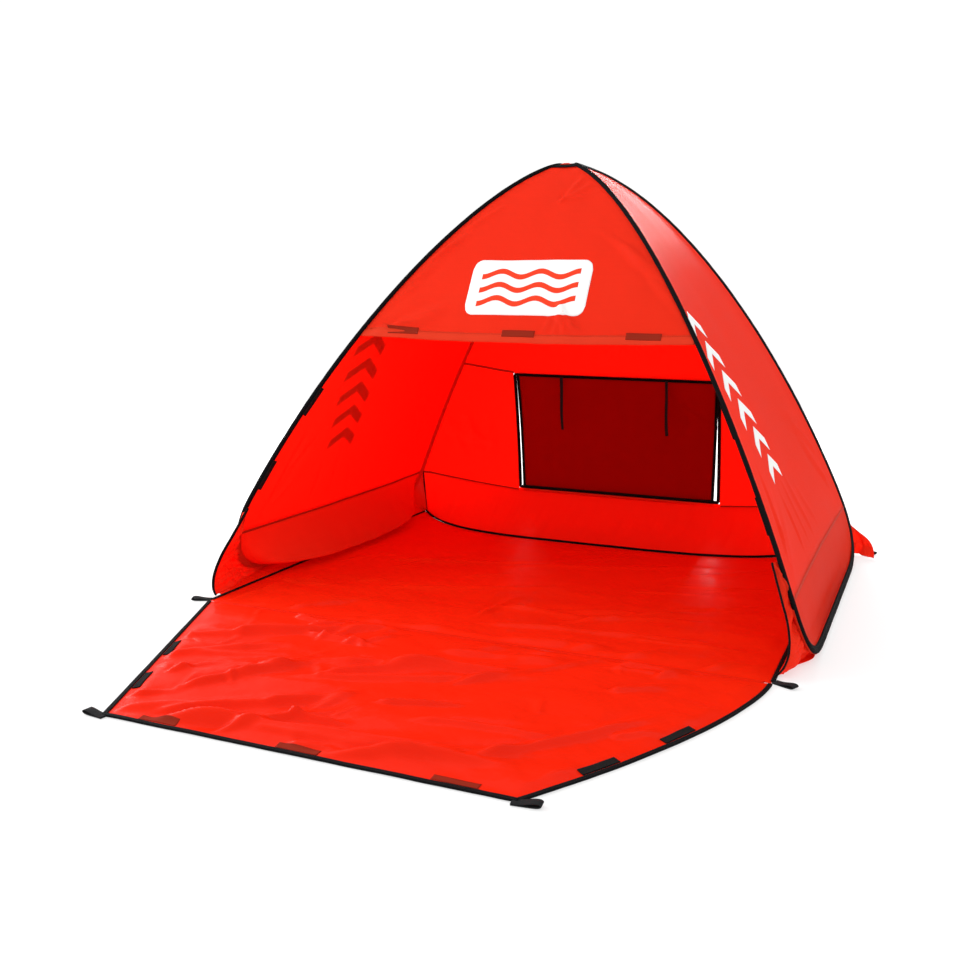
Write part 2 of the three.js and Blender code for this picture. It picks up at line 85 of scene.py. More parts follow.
# ---- Numbers ----
def fall(z, bow, shoulder):
    return np.clip(1 - (np.clip(z, 0, RIDGE_Z) / RIDGE_Z) ** bow, 0, 1) ** (1 / shoulder)


def side_x(z):
    return RIDGE_X + (HALF_WIDTH - RIDGE_X) * fall(z, 1.14, 1.48)


def front_y(z):
    return RIDGE_Y - FRONT_REACH * fall(z, 1.345, 1.32)


def rear_y(z):
    return RIDGE_Y + REAR_REACH * fall(z, 1.45, 2.66)


def floor_rear_y(x):
    return FLOOR_REAR_Y + FLOOR_REAR_BOW * (np.abs(x) / 0.790) ** 4


def door_half(d, x):
    """Half width of the door on the side of x: its left edge runs straight, the right one bows out."""
    bow = np.where(np.asarray(x) < 0, 1.0, 1.55)
    return DOOR_HALF_BACK - (DOOR_HALF_BACK - DOOR_HALF_FRONT) * (np.clip(d, 0, 1) / DOOR_LENGTH) ** bow


def wall_seam_z(x):
    return 0.112 + 0.055 * np.clip(np.abs(x), WINDOW_HALF, 0.790) ** 2 / 0.790 ** 2


def heights(low, high, count):
    """Heights from low to high, closer together towards the ridge."""
    root = np.linspace(math.sqrt(1 - low / RIDGE_Z), math.sqrt(1 - high / RIDGE_Z), count + 1)
    return RIDGE_Z * (1 - root ** 2)


def smooth(low, high, value):
    t = np.clip((value - low) / (high - low), 0, 1)
    return t * t * (3 - 2 * t)


def unit(v):
    return v / np.maximum(np.linalg.norm(v, axis=-1, keepdims=True), 1e-12)


def points(x, y, z):
    return np.stack(np.broadcast_arrays(x, y, z), axis=-1).astype(float)


def noise(x, y, seed=0):
    """Smooth gradient noise over the plane, from about -0.7 to 0.7."""
    x, y = np.broadcast_arrays(np.asarray(x, float), np.asarray(y, float))
    ix, iy = np.floor(x).astype(np.int64), np.floor(y).astype(np.int64)
    fx, fy = x - ix, y - iy

    def corner(di, dj):
        h = ((ix + di) * 374761393 + (iy + dj) * 668265263 + seed * 2246822519) & 0xFFFFFFFF
        h = ((h ^ (h >> 13)) * 1274126177) & 0xFFFFFFFF
        angle = (h ^ (h >> 16)) / 0xFFFFFFFF * 2 * math.pi
        return np.cos(angle) * (fx - di) + np.sin(angle) * (fy - dj)

    ux, uy = fx ** 3 * (fx * (fx * 6 - 15) + 10), fy ** 3 * (fy * (fy * 6 - 15) + 10)
    low = corner(0, 0) * (1 - ux) + corner(1, 0) * ux
    high = corner(0, 1) * (1 - ux) + corner(1, 1) * ux
    return low * (1 - uy) + high * uy


def crumple(x, y, size, seed, octaves=3):
    """Ridged noise: sharp creases between soft hollows."""
    total, gain = 0, 1.0
    for k in range(octaves):
        total = total + gain * (1 - np.abs(noise(x / size, y / size, seed + k)) * 2.6)
        size, gain = size * 0.53, gain * 0.48
    return total / 1.9


def creases(x, y, lines):
    """Pulled folds in a plane. Each line is (x, y, angle, length, width, height, bend)."""
    total = 0
    for x0, y0, angle, length, width, height, bend in lines:
        c, s = math.cos(angle), math.sin(angle)
        along = (x - x0) * c + (y - y0) * s
        across = -(x - x0) * s + (y - y0) * c - bend * along ** 2
        reach = smooth(0, 0.18 * length, along) * (1 - smooth(0.55 * length, length, along))
        w = width * (0.6 + 0.8 * np.clip(along / length, 0, 1))
        shape = np.exp(-(across / w) ** 2) - 0.35 * np.exp(-((across - 1.7 * w) / (1.3 * w)) ** 2)
        total = total + height * reach * shape
    return total


# ---- Meshes ----
def new_object(name, vertices, faces, uv, material):
    mesh = bpy.data.meshes.new(name)
    mesh.from_pydata(np.asarray(vertices).tolist(), [], [tuple(f) for f in faces])
    layer = mesh.uv_layers.new(name="cloth")
    index = np.empty(len(mesh.loops), dtype=np.int64)
    mesh.loops.foreach_get("vertex_index", index)
    layer.data.foreach_set("uv", np.asarray(uv, float)[index].ravel())
    mesh.polygons.foreach_set("use_smooth", [True] * len(mesh.polygons))
    mesh.materials.append(material)
    mesh.update()
    obj = bpy.data.objects.new(name, mesh)
    bpy.context.scene.collection.objects.link(obj)
    return obj


def grid_normals(grid):
    return unit(np.cross(np.gradient(grid, axis=0), np.gradient(grid, axis=1)))


def run_along(path):
    """Length of a path up to each of its points."""
    return np.concatenate([[0], np.cumsum(np.linalg.norm(np.diff(path, axis=0), axis=1))])


def at_lengths(lengths, run, values):
    return np.stack([np.interp(lengths, run, values[:, k]) for k in range(3)], axis=-1)


def even(path, count):
    """The path again, as a number of points at equal steps."""
    run = run_along(path)
    return at_lengths(np.linspace(0, run[-1], count), run, path)


def resample(path, step, closed=False):
    """The path again, at a step close to the one given; a closed path doesn't repeat its first point."""
    if closed:
        path = np.concatenate([path, path[:1]])
    count = max(2, int(round(run_along(path)[-1] / step)))
    path = even(path, count + 1)
    return path[:-1] if closed else path


def cloth_uv(grid):
    """Lengths in metres along and across the grid, so that the weave has its real scale."""
    along, across = run_along(grid[:, grid.shape[1] // 2]), run_along(grid[len(grid) // 2])
    return np.stack(np.meshgrid(across, along), axis=-1)


def sheet_mesh(name, grid, material, thickness=CLOTH, keep=None):
    """A thin closed sheet on a grid of points; keep marks the cells that stay."""
    rows, columns = grid.shape[:2]
    cells = np.ones((rows - 1, columns - 1), bool) if keep is None else keep
    normal = grid_normals(grid) * thickness / 2
    vertices = np.concatenate([(grid + normal).reshape(-1, 3), (grid - normal).reshape(-1, 3)])
    index = np.arange(rows * columns).reshape(rows, columns)
    under = rows * columns
    a, b = index[:-1, :-1][cells], index[1:, :-1][cells]
    c, d = index[1:, 1:][cells], index[:-1, 1:][cells]
    faces = [np.stack([a, b, c, d], 1), np.stack([a, d, c, b], 1) + under]
    padded = np.pad(cells, 1)
    borders = ((0, -1, (0, 0), (1, 0)), (1, 0, (1, 0), (1, 1)), (0, 1, (1, 1), (0, 1)), (-1, 0, (0, 1), (0, 0)))
    for di, dj, p, q in borders:
        beside = padded[1 + di:rows + di, 1 + dj:columns + dj]
        i, j = np.nonzero(cells & ~beside)
        start, stop = index[i + p[0], j + p[1]], index[i + q[0], j + q[1]]
        faces.append(np.stack([start, start + under, stop + under, stop], 1))
    faces = np.concatenate(faces)
    used, renumbered = np.unique(faces, return_inverse=True)
    uv = np.tile(cloth_uv(grid).reshape(-1, 2), (2, 1))
    return new_object(name, vertices[used], renumbered.reshape(faces.shape), uv[used], material)


def frames_along(path, normal, closed=False):
    """Sideways and outward directions at each point of a path; outward stays close to normal."""
    if closed:
        along = unit(np.roll(path, -1, axis=0) - np.roll(path, 1, axis=0))
    else:
        along = unit(np.gradient(path, axis=0))
    side = unit(np.cross(np.broadcast_to(normal, path.shape), along))
    return along, side, np.cross(along, side)


def sweep_mesh(name, path, side, out, section, material, closed=False):
    """A section of (sideways, outward) points carried along a path; section may differ at each point."""
    section = np.broadcast_to(np.asarray(section, float), (len(path),) + np.shape(section)[-2:])
    count, size = section.shape[:2]
    vertices = path[:, None] + side[:, None] * section[..., :1] + out[:, None] * section[..., 1:]
    vertices = vertices.reshape(-1, 3)
    index = np.arange(count * size).reshape(count, size)
    here = index if closed else index[:-1]
    there = np.roll(index, -1, axis=0) if closed else index[1:]
    quads = np.stack([here, np.roll(here, -1, 1), np.roll(there, -1, 1), there], -1).reshape(-1, 4)
    faces = [tuple(q) for q in quads]
    if not closed:
        faces += [tuple(index[0][::-1]), tuple(index[-1])]
    volume = sum(float(np.dot(vertices[f[0]], np.cross(vertices[f[k]], vertices[f[k + 1]])))
                 for f in faces for k in range(1, len(f) - 1))
    if volume < 0:
        faces = [f[::-1] for f in faces]
    uv = np.stack(np.meshgrid(run_along(section[0]), run_along(path)), axis=-1).reshape(-1, 2)
    return new_object(name, vertices, faces, uv, material)


def stitch_mesh(name, rows, material, pitch=0.0045, size=(0.0030, 0.0008, 0.0004)):
    """Rows of thread stitches. Each row is (path, outward normals)."""
    corners = np.array([[x, y, z] for z in (-1, 1) for y in (-1, 1) for x in (-1, 1)], float) / 2
    corners[4:, :2] *= 0.62
    quads = np.array([[0, 2, 3, 1], [4, 5, 7, 6], [0, 1, 5, 4], [2, 6, 7, 3], [0, 4, 6, 2], [1, 3, 7, 5]])
    blocks = []
    for path, normal in rows:
        run = run_along(path)
        at = np.arange(pitch, run[-1], pitch)
        centre = at_lengths(at, run, path)
        along, side, up = frames_along(centre, at_lengths(at, run, np.broadcast_to(normal, path.shape)))
        blocks.append(
            centre[:, None] + along[:, None] * corners[:, 0, None] * size[0]
            + side[:, None] * corners[:, 1, None] * size[1] + up[:, None] * corners[:, 2, None] * size[2]
        )
    vertices = np.concatenate(blocks).reshape(-1, 3)
    faces = (np.arange(len(vertices) // 8)[:, None, None] * 8 + quads).reshape(-1, 4)
    return new_object(name, vertices, faces, np.zeros((len(vertices), 2)), material)


# ---- Materials ----
def node(tree, kind, vector=None, **values):
    """A new node. A value is one of its settings, or the default of the input with that name."""
    made = tree.nodes.new(kind)
    for key, value in values.items():
        if hasattr(made, key):
            setattr(made, key, value)
        else:
            made.inputs[key.replace("_", " ")].default_value = value
    if vector is not None:
        tree.links.new(vector, made.inputs["Vector"])
    return made


def sockets(surface, **values):
    for key, value in values.items():
        surface.inputs[key.replace("_", " ")].default_value = value


def bumped(tree, surface, height, **values):
    bump = node(tree, "ShaderNodeBump", **values)
    tree.links.new(height, bump.inputs["Height"])
    tree.links.new(bump.outputs[0], surface.inputs["Normal"])


def mix_colour(tree, factor, low, high):
    mix = tree.nodes.new("ShaderNodeMix")
    mix.data_type = "RGBA"
    for socket, value in ((mix.inputs[0], factor), (mix.inputs[6], low), (mix.inputs[7], high)):
        if hasattr(value, "node"):
            tree.links.new(value, socket)
        else:
            socket.default_value = value
    return mix.outputs[2]


def mapped(tree, scale=(1, 1, 1)):
    coordinates = node(tree, "ShaderNodeUVMap", uv_map="cloth")
    return node(tree, "ShaderNodeMapping", coordinates.outputs[0], Scale=scale).outputs[0]


def wave(tree, scale, direction):
    made = node(tree, "ShaderNodeTexWave", mapped(tree), wave_type="BANDS", bands_direction=direction,
                Scale=scale * 2 * math.pi / 20)  # the node turns once per 2 pi / 20
    return made.outputs["Fac"]


def summed(tree, a, b, operation="ADD"):
    made = node(tree, "ShaderNodeMath", operation=operation)
    tree.links.new(a, made.inputs[0])
    if hasattr(b, "node"):
        tree.links.new(b, made.inputs[1])
    else:
        made.inputs[1].default_value = b
    return made.outputs[0]


def base_material(name):
    material = bpy.data.materials.new(name)
    material.use_nodes = True
    tree = material.node_tree
    return material, tree, tree.nodes["Principled BSDF"], tree.nodes["Material Output"]


def shade(colour, factor):
    return tuple(min(1.0, c * factor) for c in colour[:3]) + (1.0,)


def cloth_material(name, colour, roughness, see_through=0.0, glow=None, coat=0.0, coat_roughness=0.3,
                   thread=0.0011, weave_depth=0.00008):
    """Plain-woven polyester: fine threads, faint slubs along them, soft tone changes."""
    material, tree, surface, output = base_material(name)
    warp = wave(tree, 1 / thread, "X")
    weft = wave(tree, 1 / thread, "Y")
    weave = summed(tree, warp, weft, "MULTIPLY")
    slubs = node(tree, "ShaderNodeTexNoise", mapped(tree, (0.08, 3.0, 1.0)), Scale=60.0, Detail=3.0)
    clouds = node(tree, "ShaderNodeTexNoise", mapped(tree), Scale=3.5, Detail=4.0)
    tone = mix_colour(tree, slubs.outputs["Fac"], shade(colour, 0.93), shade(colour, 1.06))
    cloudy = mix_colour(tree, clouds.outputs["Fac"], shade(colour, 0.90), shade(colour, 1.08))
    blended = mix_colour(tree, 0.5, tone, cloudy)
    tree.links.new(blended, surface.inputs["Base Color"])
    worn = node(tree, "ShaderNodeMapRange", To_Min=roughness - 0.05, To_Max=roughness + 0.06)
    tree.links.new(clouds.outputs["Fac"], worn.inputs["Value"])
    tree.links.new(worn.outputs[0], surface.inputs["Roughness"])
    bumped(tree, surface, weave, Strength=0.6, Distance=weave_depth)
    sockets(surface, Specular_IOR_Level=0.02, Coat_Weight=coat, Coat_Roughness=coat_roughness)
    if see_through:
        through = node(tree, "ShaderNodeBsdfTranslucent")
        if glow is None:
            tree.links.new(blended, through.inputs["Color"])
        else:
            through.inputs["Color"].default_value = glow
        mix = node(tree, "ShaderNodeMixShader")
        mix.inputs[0].default_value = see_through
        tree.links.new(surface.outputs[0], mix.inputs[1])
        tree.links.new(through.outputs[0], mix.inputs[2])
        tree.links.new(mix.outputs[0], output.inputs["Surface"])
    return material


def tape_material(name, colour, rib, roughness=0.8, depth=0.00025):
    """Woven tape or webbing: ribs across its length and fuzz; its colour is painted darker in the rib grooves and
    lighter where ribs and fuzz stand up, painted shade and highlight.
    """
    material, tree, surface, _ = base_material(name)
    ribs = wave(tree, 1 / rib, "Y")
    fuzz = node(tree, "ShaderNodeTexNoise", mapped(tree), Scale=350.0, Detail=4.0)
    # Painted shade and highlight: darker in the grooves between ribs, lighter on their tops and on the raised fuzz.
    rib_painted_shade_and_highlight = mix_colour(tree, ribs, shade(colour, 0.6), shade(colour, 1.4))
    tree.links.new(mix_colour(tree, fuzz.outputs["Fac"], rib_painted_shade_and_highlight, shade(colour, 1.7)), surface.inputs["Base Color"])
    sockets(surface, Roughness=roughness, Specular_IOR_Level=0.06)
    height = summed(tree, ribs, summed(tree, fuzz.outputs["Fac"], 0.5, "MULTIPLY"))
    bumped(tree, surface, height, Strength=0.8, Distance=depth)
    return material


def fuzzy_material(name, colour):
    """Loop pile of a hook-and-loop patch."""
    material, tree, surface, _ = base_material(name)
    pile = node(tree, "ShaderNodeTexVoronoi", mapped(tree), Scale=900.0)
    tree.links.new(mix_colour(tree, pile.outputs["Distance"], shade(colour, 1.5), shade(colour, 0.5)),
         surface.inputs["Base Color"])
    sockets(surface, Roughness=0.95, Specular_IOR_Level=0.06)
    bumped(tree, surface, pile.outputs["Distance"], Distance=0.0006)
    return material


def steel_material(name):
    material, tree, surface, _ = base_material(name)
    streaks = node(tree, "ShaderNodeTexNoise", Scale=80.0)
    colour = mix_colour(tree, streaks.outputs["Fac"], (0.30, 0.31, 0.32, 1), (0.48, 0.49, 0.50, 1))
    tree.links.new(colour, surface.inputs["Base Color"])
    sockets(surface, Metallic=1.0, Roughness=0.35)
    return material


RED = (0.89, 0.054, 0.020, 1)
GROUND_RED = (0.87, 0.018, 0.003, 1)
GLOW = (0.96, 0.036, 0.002, 1)  # light that comes through the cloth
BLACK = (0.0035, 0.0035, 0.004, 1)

side_cloth = cloth_material("side_cloth", RED, 0.50, see_through=0.50, glow=GLOW, coat=0.012, coat_roughness=0.42)
# Painted shade: the lower side panels are the same red cloth as the upper ones, painted darker to stand in for the
# shade that falls on them.
low_cloth_painted_shade = cloth_material("low_cloth_painted_shade", shade(RED, 0.82), 0.52, see_through=0.44, glow=GLOW, coat=0.02,
                           coat_roughness=0.42)
wall_cloth = cloth_material("wall_cloth", RED, 0.48, see_through=0.52, glow=GLOW, coat=0.025, coat_roughness=0.36)
ground_cloth = cloth_material("ground_cloth", GROUND_RED, 0.40, see_through=0.08, coat=0.085, coat_roughness=0.20)
flap_cloth = cloth_material("flap_cloth", (0.36, 0.003, 0.001, 1), 0.6, see_through=0.30)
seam_cloth = cloth_material("seam_cloth", shade(RED, 0.52), 0.7, see_through=0.12)
seam_face = cloth_material("seam_face", shade(RED, 0.80), 0.5, see_through=0.30, coat=0.02)
seam_hem = cloth_material("seam_hem", shade(RED, 0.93), 0.5, see_through=0.22, coat=0.04)
print_white = cloth_material("print_white", (0.90, 0.90, 0.89, 1), 0.45, coat=0.05)
print_red = cloth_material("print_red", RED, 0.45, coat=0.05)
# Painted shadow: the dark place on the cloth where a hook-and-loop patch behind it blocks the light.
patch_painted_shadow = cloth_material("patch_painted_shadow", (0.26, 0.022, 0.010, 1), 0.65)
binding_tape = tape_material("binding_tape", BLACK, 0.0016)
webbing_tape = tape_material("webbing_tape", (0.013, 0.013, 0.014, 1), 0.0022, depth=0.0004)
pile_black = fuzzy_material("pile_black", (0.014, 0.013, 0.013, 1))
thread_black = tape_material("thread_black", (0.03, 0.03, 0.032, 1), 0.0008, roughness=0.6)
thread_red = tape_material("thread_red", (0.40, 0.010, 0.003, 1), 0.0008, roughness=0.6)
wire_steel = steel_material("wire_steel")


def place(piece, body, *nodes):
    """Rides on a body and stands for its CAD nodes; on the root, door and flap it gets a mesh of its own."""
    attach(piece, body)
    if nodes:
        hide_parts(*nodes)
    if body in ("root", "door", "flap"):
        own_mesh(piece)


def declare(grid):
    """Works out the areas of the grid's cells and returns nothing."""
    cell = np.linalg.norm(np.cross(grid[1:, :-1] - grid[:-1, :-1], grid[:-1, 1:] - grid[:-1, :-1]), axis=2) / 2
    cell = cell + np.linalg.norm(np.cross(grid[1:, :-1] - grid[1:, 1:], grid[:-1, 1:] - grid[1:, 1:]), axis=2) / 2


# ---- Hoops ----
def quadratic(a, b, c, t):
    return (1 - t) ** 2 * a + 2 * t * (1 - t) * b + t ** 2 * c


def bezier(p0, p1, p2, count):
    return quadratic(np.array(p0), np.array(p1), np.array(p2), np.linspace(0, 1, count)[:, None])


def on_side(s, y, z):
    return points(s * side_x(z), y, z)


def drop_over(curve, z):
    """How much a curve over the height falls across a short step at z."""
    z = np.clip(z, 0, RIDGE_Z - 2 * STEP)
    return curve(z - STEP) - curve(z + STEP)


def side_normal(s, z):
    return unit(points(s * 2 * STEP + 0 * z, 0, drop_over(side_x, z)))


def visor_normal(z):
    return unit(points(0 * z, -2 * STEP, -drop_over(front_y, z)))


def rear_normal(z):
    return unit(points(0 * z, 2 * STEP, drop_over(rear_y, z)))


FRONT_FOOT_Y = {-1: SHIFT - 0.200, 1: SHIFT - 0.300}  # the left hoop turns in the wider bend
FRONT_FOOT_Z = {-1: 0.250, 1: 0.160}
REAR_FOOT_Y = SHIFT + 0.500
REAR_FOOT_Z = 0.200
HOOP_STEP = 0.012
PANEL_TOP_IN = 0.012  # from the ridge down to a side panel's tip


def hoop_line(s):
    """Centre line of one hoop: up the front, round the ridge, down the rear and along the ground."""
    turn_z = RIDGE_Z - 0.008  # where the bend over the ridge starts
    front_z, rear_z = heights(FRONT_FOOT_Z[s], turn_z, 60), heights(REAR_FOOT_Z, turn_z, 60)[::-1]
    front, rear = on_side(s, front_y(front_z), front_z), on_side(s, rear_y(rear_z), rear_z)
    ridge = bezier(front[-1], (s * RIDGE_X * 2, RIDGE_Y - 0.004, RIDGE_Z + 0.002), rear[0], 14)
    back = bezier((rear_y(REAR_FOOT_Z), REAR_FOOT_Z), (rear_y(0) - 0.005, HOOP_GROUND_Z),
                  (REAR_FOOT_Y, HOOP_GROUND_Z), 20)
    bend = front_y(FRONT_FOOT_Z[s]) - 0.004 if s < 0 else front_y(0)
    toe = bezier((FRONT_FOOT_Y[s], HOOP_GROUND_Z), (bend, HOOP_GROUND_Z),
                 (front_y(FRONT_FOOT_Z[s]), FRONT_FOOT_Z[s]), 20)
    corners = [on_side(s, q[:, 0], q[:, 1]) for q in (back, toe)]
    line = np.concatenate([front[:-1], ridge, rear[1:-1], corners[0], corners[1][:-1]])
    line = resample(line, HOOP_STEP, closed=True)
    for _ in range(4):
        line = (np.roll(line, 1, 0) + 2 * line + np.roll(line, -1, 0)) / 4
    return line


def hoop_frame(s):
    line = hoop_line(s)
    _, inward, out = frames_along(line, side_normal(s, line[:, 2]), closed=True)
    middle = on_side(s, RIDGE_Y, 0.4)
    if float(np.dot(middle - line[0], inward[0])) < 0:
        inward = -inward
    return line, inward, out


HOOPS = {s: hoop_frame(s) for _, s in SIDES}


def row_table(s):
    """Front and rear edge of a side panel at each height, inside the sleeve."""
    line, inward, _ = HOOPS[s]
    edge = line + inward * EDGE_IN
    after = np.roll(edge, -1, axis=0)
    z = heights(HOOP_GROUND_Z + 0.0065, RIDGE_Z - PANEL_TOP_IN, 260)
    ends = []
    for level in z:
        cut = (edge[:, 2] - level) * (after[:, 2] - level) < 0
        a, b = edge[cut], after[cut]
        y = a[:, 1] + (b[:, 1] - a[:, 1]) * (level - a[:, 2]) / (b[:, 2] - a[:, 2])
        ends.append((y.min(), y.max()))
    return z, np.array(ends)


ROWS = {s: row_table(s) for _, s in SIDES}
SLEEVE_OUTER = [(0.0112, 0.0011), (0.0108, 0.0021), (0.0062, 0.0033), (0.0010, 0.0052), (-0.0032, 0.0064),
                (-0.0068, 0.0054), (-0.0092, 0.0030)]
SLEEVE_INNER = [(0.0106, 0.0006), (0.0050, 0.0018), (0.0005, 0.0038), (-0.0032, 0.0050), (-0.0064, 0.0040),
                (-0.0082, 0.0017)]


FACING = [(0.0145, -0.0012), (0.0116, -0.0026), (0.0062, -0.0048), (0.0010, -0.0068),
          (-0.0032, -0.0080), (-0.0068, -0.0070), (-0.0094, -0.0046), (-0.0108, -0.0012)]


def hoop_sleeve(name, s):
    line, inward, out = HOOPS[s]
    outer = SLEEVE_OUTER + [(-0.0099, 0.0)] + [(b, -n) for b, n in reversed(SLEEVE_OUTER)]
    inner = [(b, -n) for b, n in SLEEVE_INNER] + [(-0.0088, 0.0)] + list(reversed(SLEEVE_INNER))
    section = np.array(outer + inner)
    length = np.arange(len(line)) * HOOP_STEP
    pucker = 1 + 0.10 * noise(length / 0.035, 0.5, 31 + s) + 0.06 * noise(length / 0.013, 0.5, 41 + s)
    sections = np.repeat(section[None], len(line), axis=0)
    sections[:, :, 1] *= pucker[:, None]
    sections[:, :, 0] += 0.0005 * noise(length / 0.05, 2.5, 51 + s)[:, None]
    piece = sweep_mesh(f"hoop_sleeve_{name}_tape", line, inward, out, sections, binding_tape, closed=True)
    place(piece, f"{name}_side", f"hoop_sleeve_{name}")
    around = np.concatenate([line, line[:1]])
    rows = []
    for face in (1, -1):
        lift = inward * 0.0075 + out * face * 0.0030 * pucker[:, None]
        normal = out * face
        rows.append((around + np.concatenate([lift, lift[:1]]), np.concatenate([normal, normal[:1]])))
    place(stitch_mesh(f"hoop_sleeve_{name}_stitches", rows, thread_black), f"{name}_side")


def hoop_facing(name, s):
    """The side panel's own cloth, turned over the inner face of the sleeve at the rear and along the ground."""
    line, inward, out = HOOPS[s]
    rear = (line[:, 1] > RIDGE_Y) & (line[:, 2] < RIDGE_Z - 0.03)
    chosen = np.arange(np.nonzero(rear)[0][0], len(line))  # the line starts at the front foot and ends there
    length = len(chosen) * HOOP_STEP
    run = np.arange(len(chosen)) * HOOP_STEP
    profile = np.array(FACING)
    swell = 1 + 0.10 * noise(run / 0.04, 0.5, 61 + s)
    fade = smooth(0, 0.03, run) * (1 - smooth(length - 0.03, length, run))
    grid = (line[chosen, None] + inward[chosen, None] * profile[:, :1]
            + out[chosen, None] * profile[:, 1:] * (swell * (0.85 + 0.15 * fade))[:, None, None])
    place(sheet_mesh(f"hoop_facing_{name}", grid, side_cloth), f"{name}_side")


# ---- Side panels ----
PUCKER_REACH = 0.045
SIDE_SAG = 0.014


def side_relief(s, y, z, t, width):
    edge = np.minimum(t, 1 - t) * width
    low_edge = np.maximum(z - HOOP_GROUND_Z, 0)
    edge = np.minimum(edge, low_edge)
    seed = 70 if s > 0 else 80
    gather = np.sin(2 * math.pi * (z / 0.031 + 1.6 * noise(z / 0.11, t * 3, seed)))
    pucker = 0.0011 * gather * np.exp(-edge / PUCKER_REACH * 2.2)
    rise = np.clip(z / 1.15, 0, 1)
    sag = -SIDE_SAG * np.sin(math.pi * np.clip(t, 0, 1)) * np.sin(math.pi * rise ** 0.8)
    slack = 0.0030 * noise(y / 0.30, z / 0.22, seed + 1) + 0.0012 * noise(y / 0.12, z / 0.33, seed + 2)
    folds = 1.6 * creases(y, z, SIDE_PULLS[s])
    return (sag + slack + folds) * smooth(0.004, 0.05, edge) + pucker * smooth(0.004, 0.016, edge)


def fan(rng, x0, z0, angle, spread, count, length, width, height, step=(0.0, 0.0)):
    """Folds that start near one place and fan out."""
    lines = []
    for k in range(count):
        share = k / max(1, count - 1) - 0.5
        lines.append((x0 + step[0] * k + rng.uniform(-0.01, 0.01), z0 + step[1] * k + rng.uniform(-0.01, 0.01),
                      angle + spread * share + rng.uniform(-0.05, 0.05), length * rng.uniform(0.7, 1.2),
                      width * rng.uniform(0.7, 1.3), height * rng.uniform(0.6, 1.2), rng.uniform(-0.15, 0.15)))
    return lines


def pulls(seed, *fans):
    rng = np.random.default_rng(seed)
    return [line for values in fans for line in fan(rng, *values)]


# Each fan of folds: x (y on a side panel), z, heading, spread, count, length, width, height, step from fold to fold
SIDE_PULLS = {s: pulls(5 + s, (RIDGE_Y + 0.52, 0.26, 2.6, 0.5, 5, 0.34, 0.012, 0.0030, (0.0, 0.05)),
                       (RIDGE_Y - 0.56, 0.18, 0.85, 0.6, 4, 0.26, 0.011, 0.0022, (0.02, 0.03)),
                       (RIDGE_Y - 0.25, 0.20, 1.9, 0.7, 4, 0.22, 0.010, 0.0018, (0.12, 0.0))) for _, s in SIDES}
VISOR_PULLS = pulls(11, (-0.545, 0.800, 0.62, 0.10, 7, 0.36, 0.0105, 0.0034, (0.022, 0.030)),
                    (-0.500, 0.790, 0.20, 0.30, 3, 0.28, 0.012, 0.0024, (0.05, 0.004)),
                    (0.520, 0.800, 2.55, 0.25, 6, 0.26, 0.010, 0.0022, (-0.02, 0.030)),
                    (0.08, 0.780, 1.9, 1.6, 5, 0.12, 0.008, 0.0018, (0.03, 0.003)),
                    (0.02, 1.16, 0.6, 0.8, 3, 0.14, 0.009, 0.0014))
WALL_PULLS = pulls(17, (-0.60, 0.30, 2.3, 1.2, 4, 0.20, 0.012, 0.0030, (0.04, 0.0)),
                   (-0.45, 0.20, 1.7, 0.5, 4, 0.25, 0.014, 0.0030, (-0.06, 0.01)),
                   (0.46, 0.55, -0.6, 0.6, 4, 0.30, 0.013, 0.0032, (0.0, -0.09)),
                   (-0.10, 0.64, 1.4, 1.4, 6, 0.22, 0.013, 0.0024, (0.06, 0.0)))
FLAP_PULLS = pulls(23, (0.20, 0.56, -0.7, 0.5, 5, 0.34, 0.010, 0.0026, (0.03, -0.03)))


def side_ends(s, z):
    levels, ends = ROWS[s]
    return np.interp(z, levels, ends[:, 0]), np.interp(z, levels, ends[:, 1])


def side_surface(s, t, z, out=0.0):
    """A point of a side panel: t runs from its front edge to its rear edge."""
    first, last = side_ends(s, z)
    y = first + (last - first) * t
    away = side_relief(s, y, z, t, last - first) + out
    return on_side(s, y, z) + side_normal(s, z + 0 * t) * away[..., None]


def side_share(s, y, z):
    first, last = side_ends(s, z)
    return (y - first) / (last - first)


SIDE_COLUMNS = 120
SEAM_GAP = 0.0008  # from a side panel's edge to the middle of the seam
PANEL_FOOT_UP = 0.0068
BELLY = {-1: 0.205, 1: 0.016}  # how far the slack lower panels hang inwards over the floor's edge
BELLY_ENDS = {-1: 0.40, 1: 0.60}  # lower is fuller towards the panel's front and rear
BELLY_REST_Z = 0.0125


def side_panel(name, s, part, levels):
    t, z = np.meshgrid(np.linspace(0, 1, SIDE_COLUMNS + 1), levels)
    grid = side_surface(s, t, z)
    if part == "lower":
        v = (z - levels[0]) / (levels[-1] - levels[0])
        along = np.sin(math.pi * np.clip(t * 1.04 - 0.02, 0, 1)) ** BELLY_ENDS[s]
        hang = smooth(0, 0.30, v) * (1 - v) ** 1.3 * 1.25
        folds = 1 + 0.16 * noise(t * 5, v * 1.5, 75 + s) + 0.06 * noise(t * 17, v * 2, 76 + s)
        grid[..., 0] -= s * BELLY[s] * along * hang * folds
        grid[..., 2] -= (grid[..., 2] - BELLY_REST_Z) * along * 0.96 * np.exp(-(v / 0.46) ** 2)
    if s > 0:
        grid = grid[:, ::-1]
    piece = sheet_mesh(f"side_panel_{part}_{name}_cloth", grid, side_cloth if part == "upper" else low_cloth_painted_shade)
    place(piece, f"{name}_side", f"side_panel_{part}_{name}")
    if part == "lower":
        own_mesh(piece)
    declare(grid[::4, ::6])


SEAM_WIDTH = 0.009
CLOSURE_TAB_Z = {"upper": 0.580, "lower": 0.358}


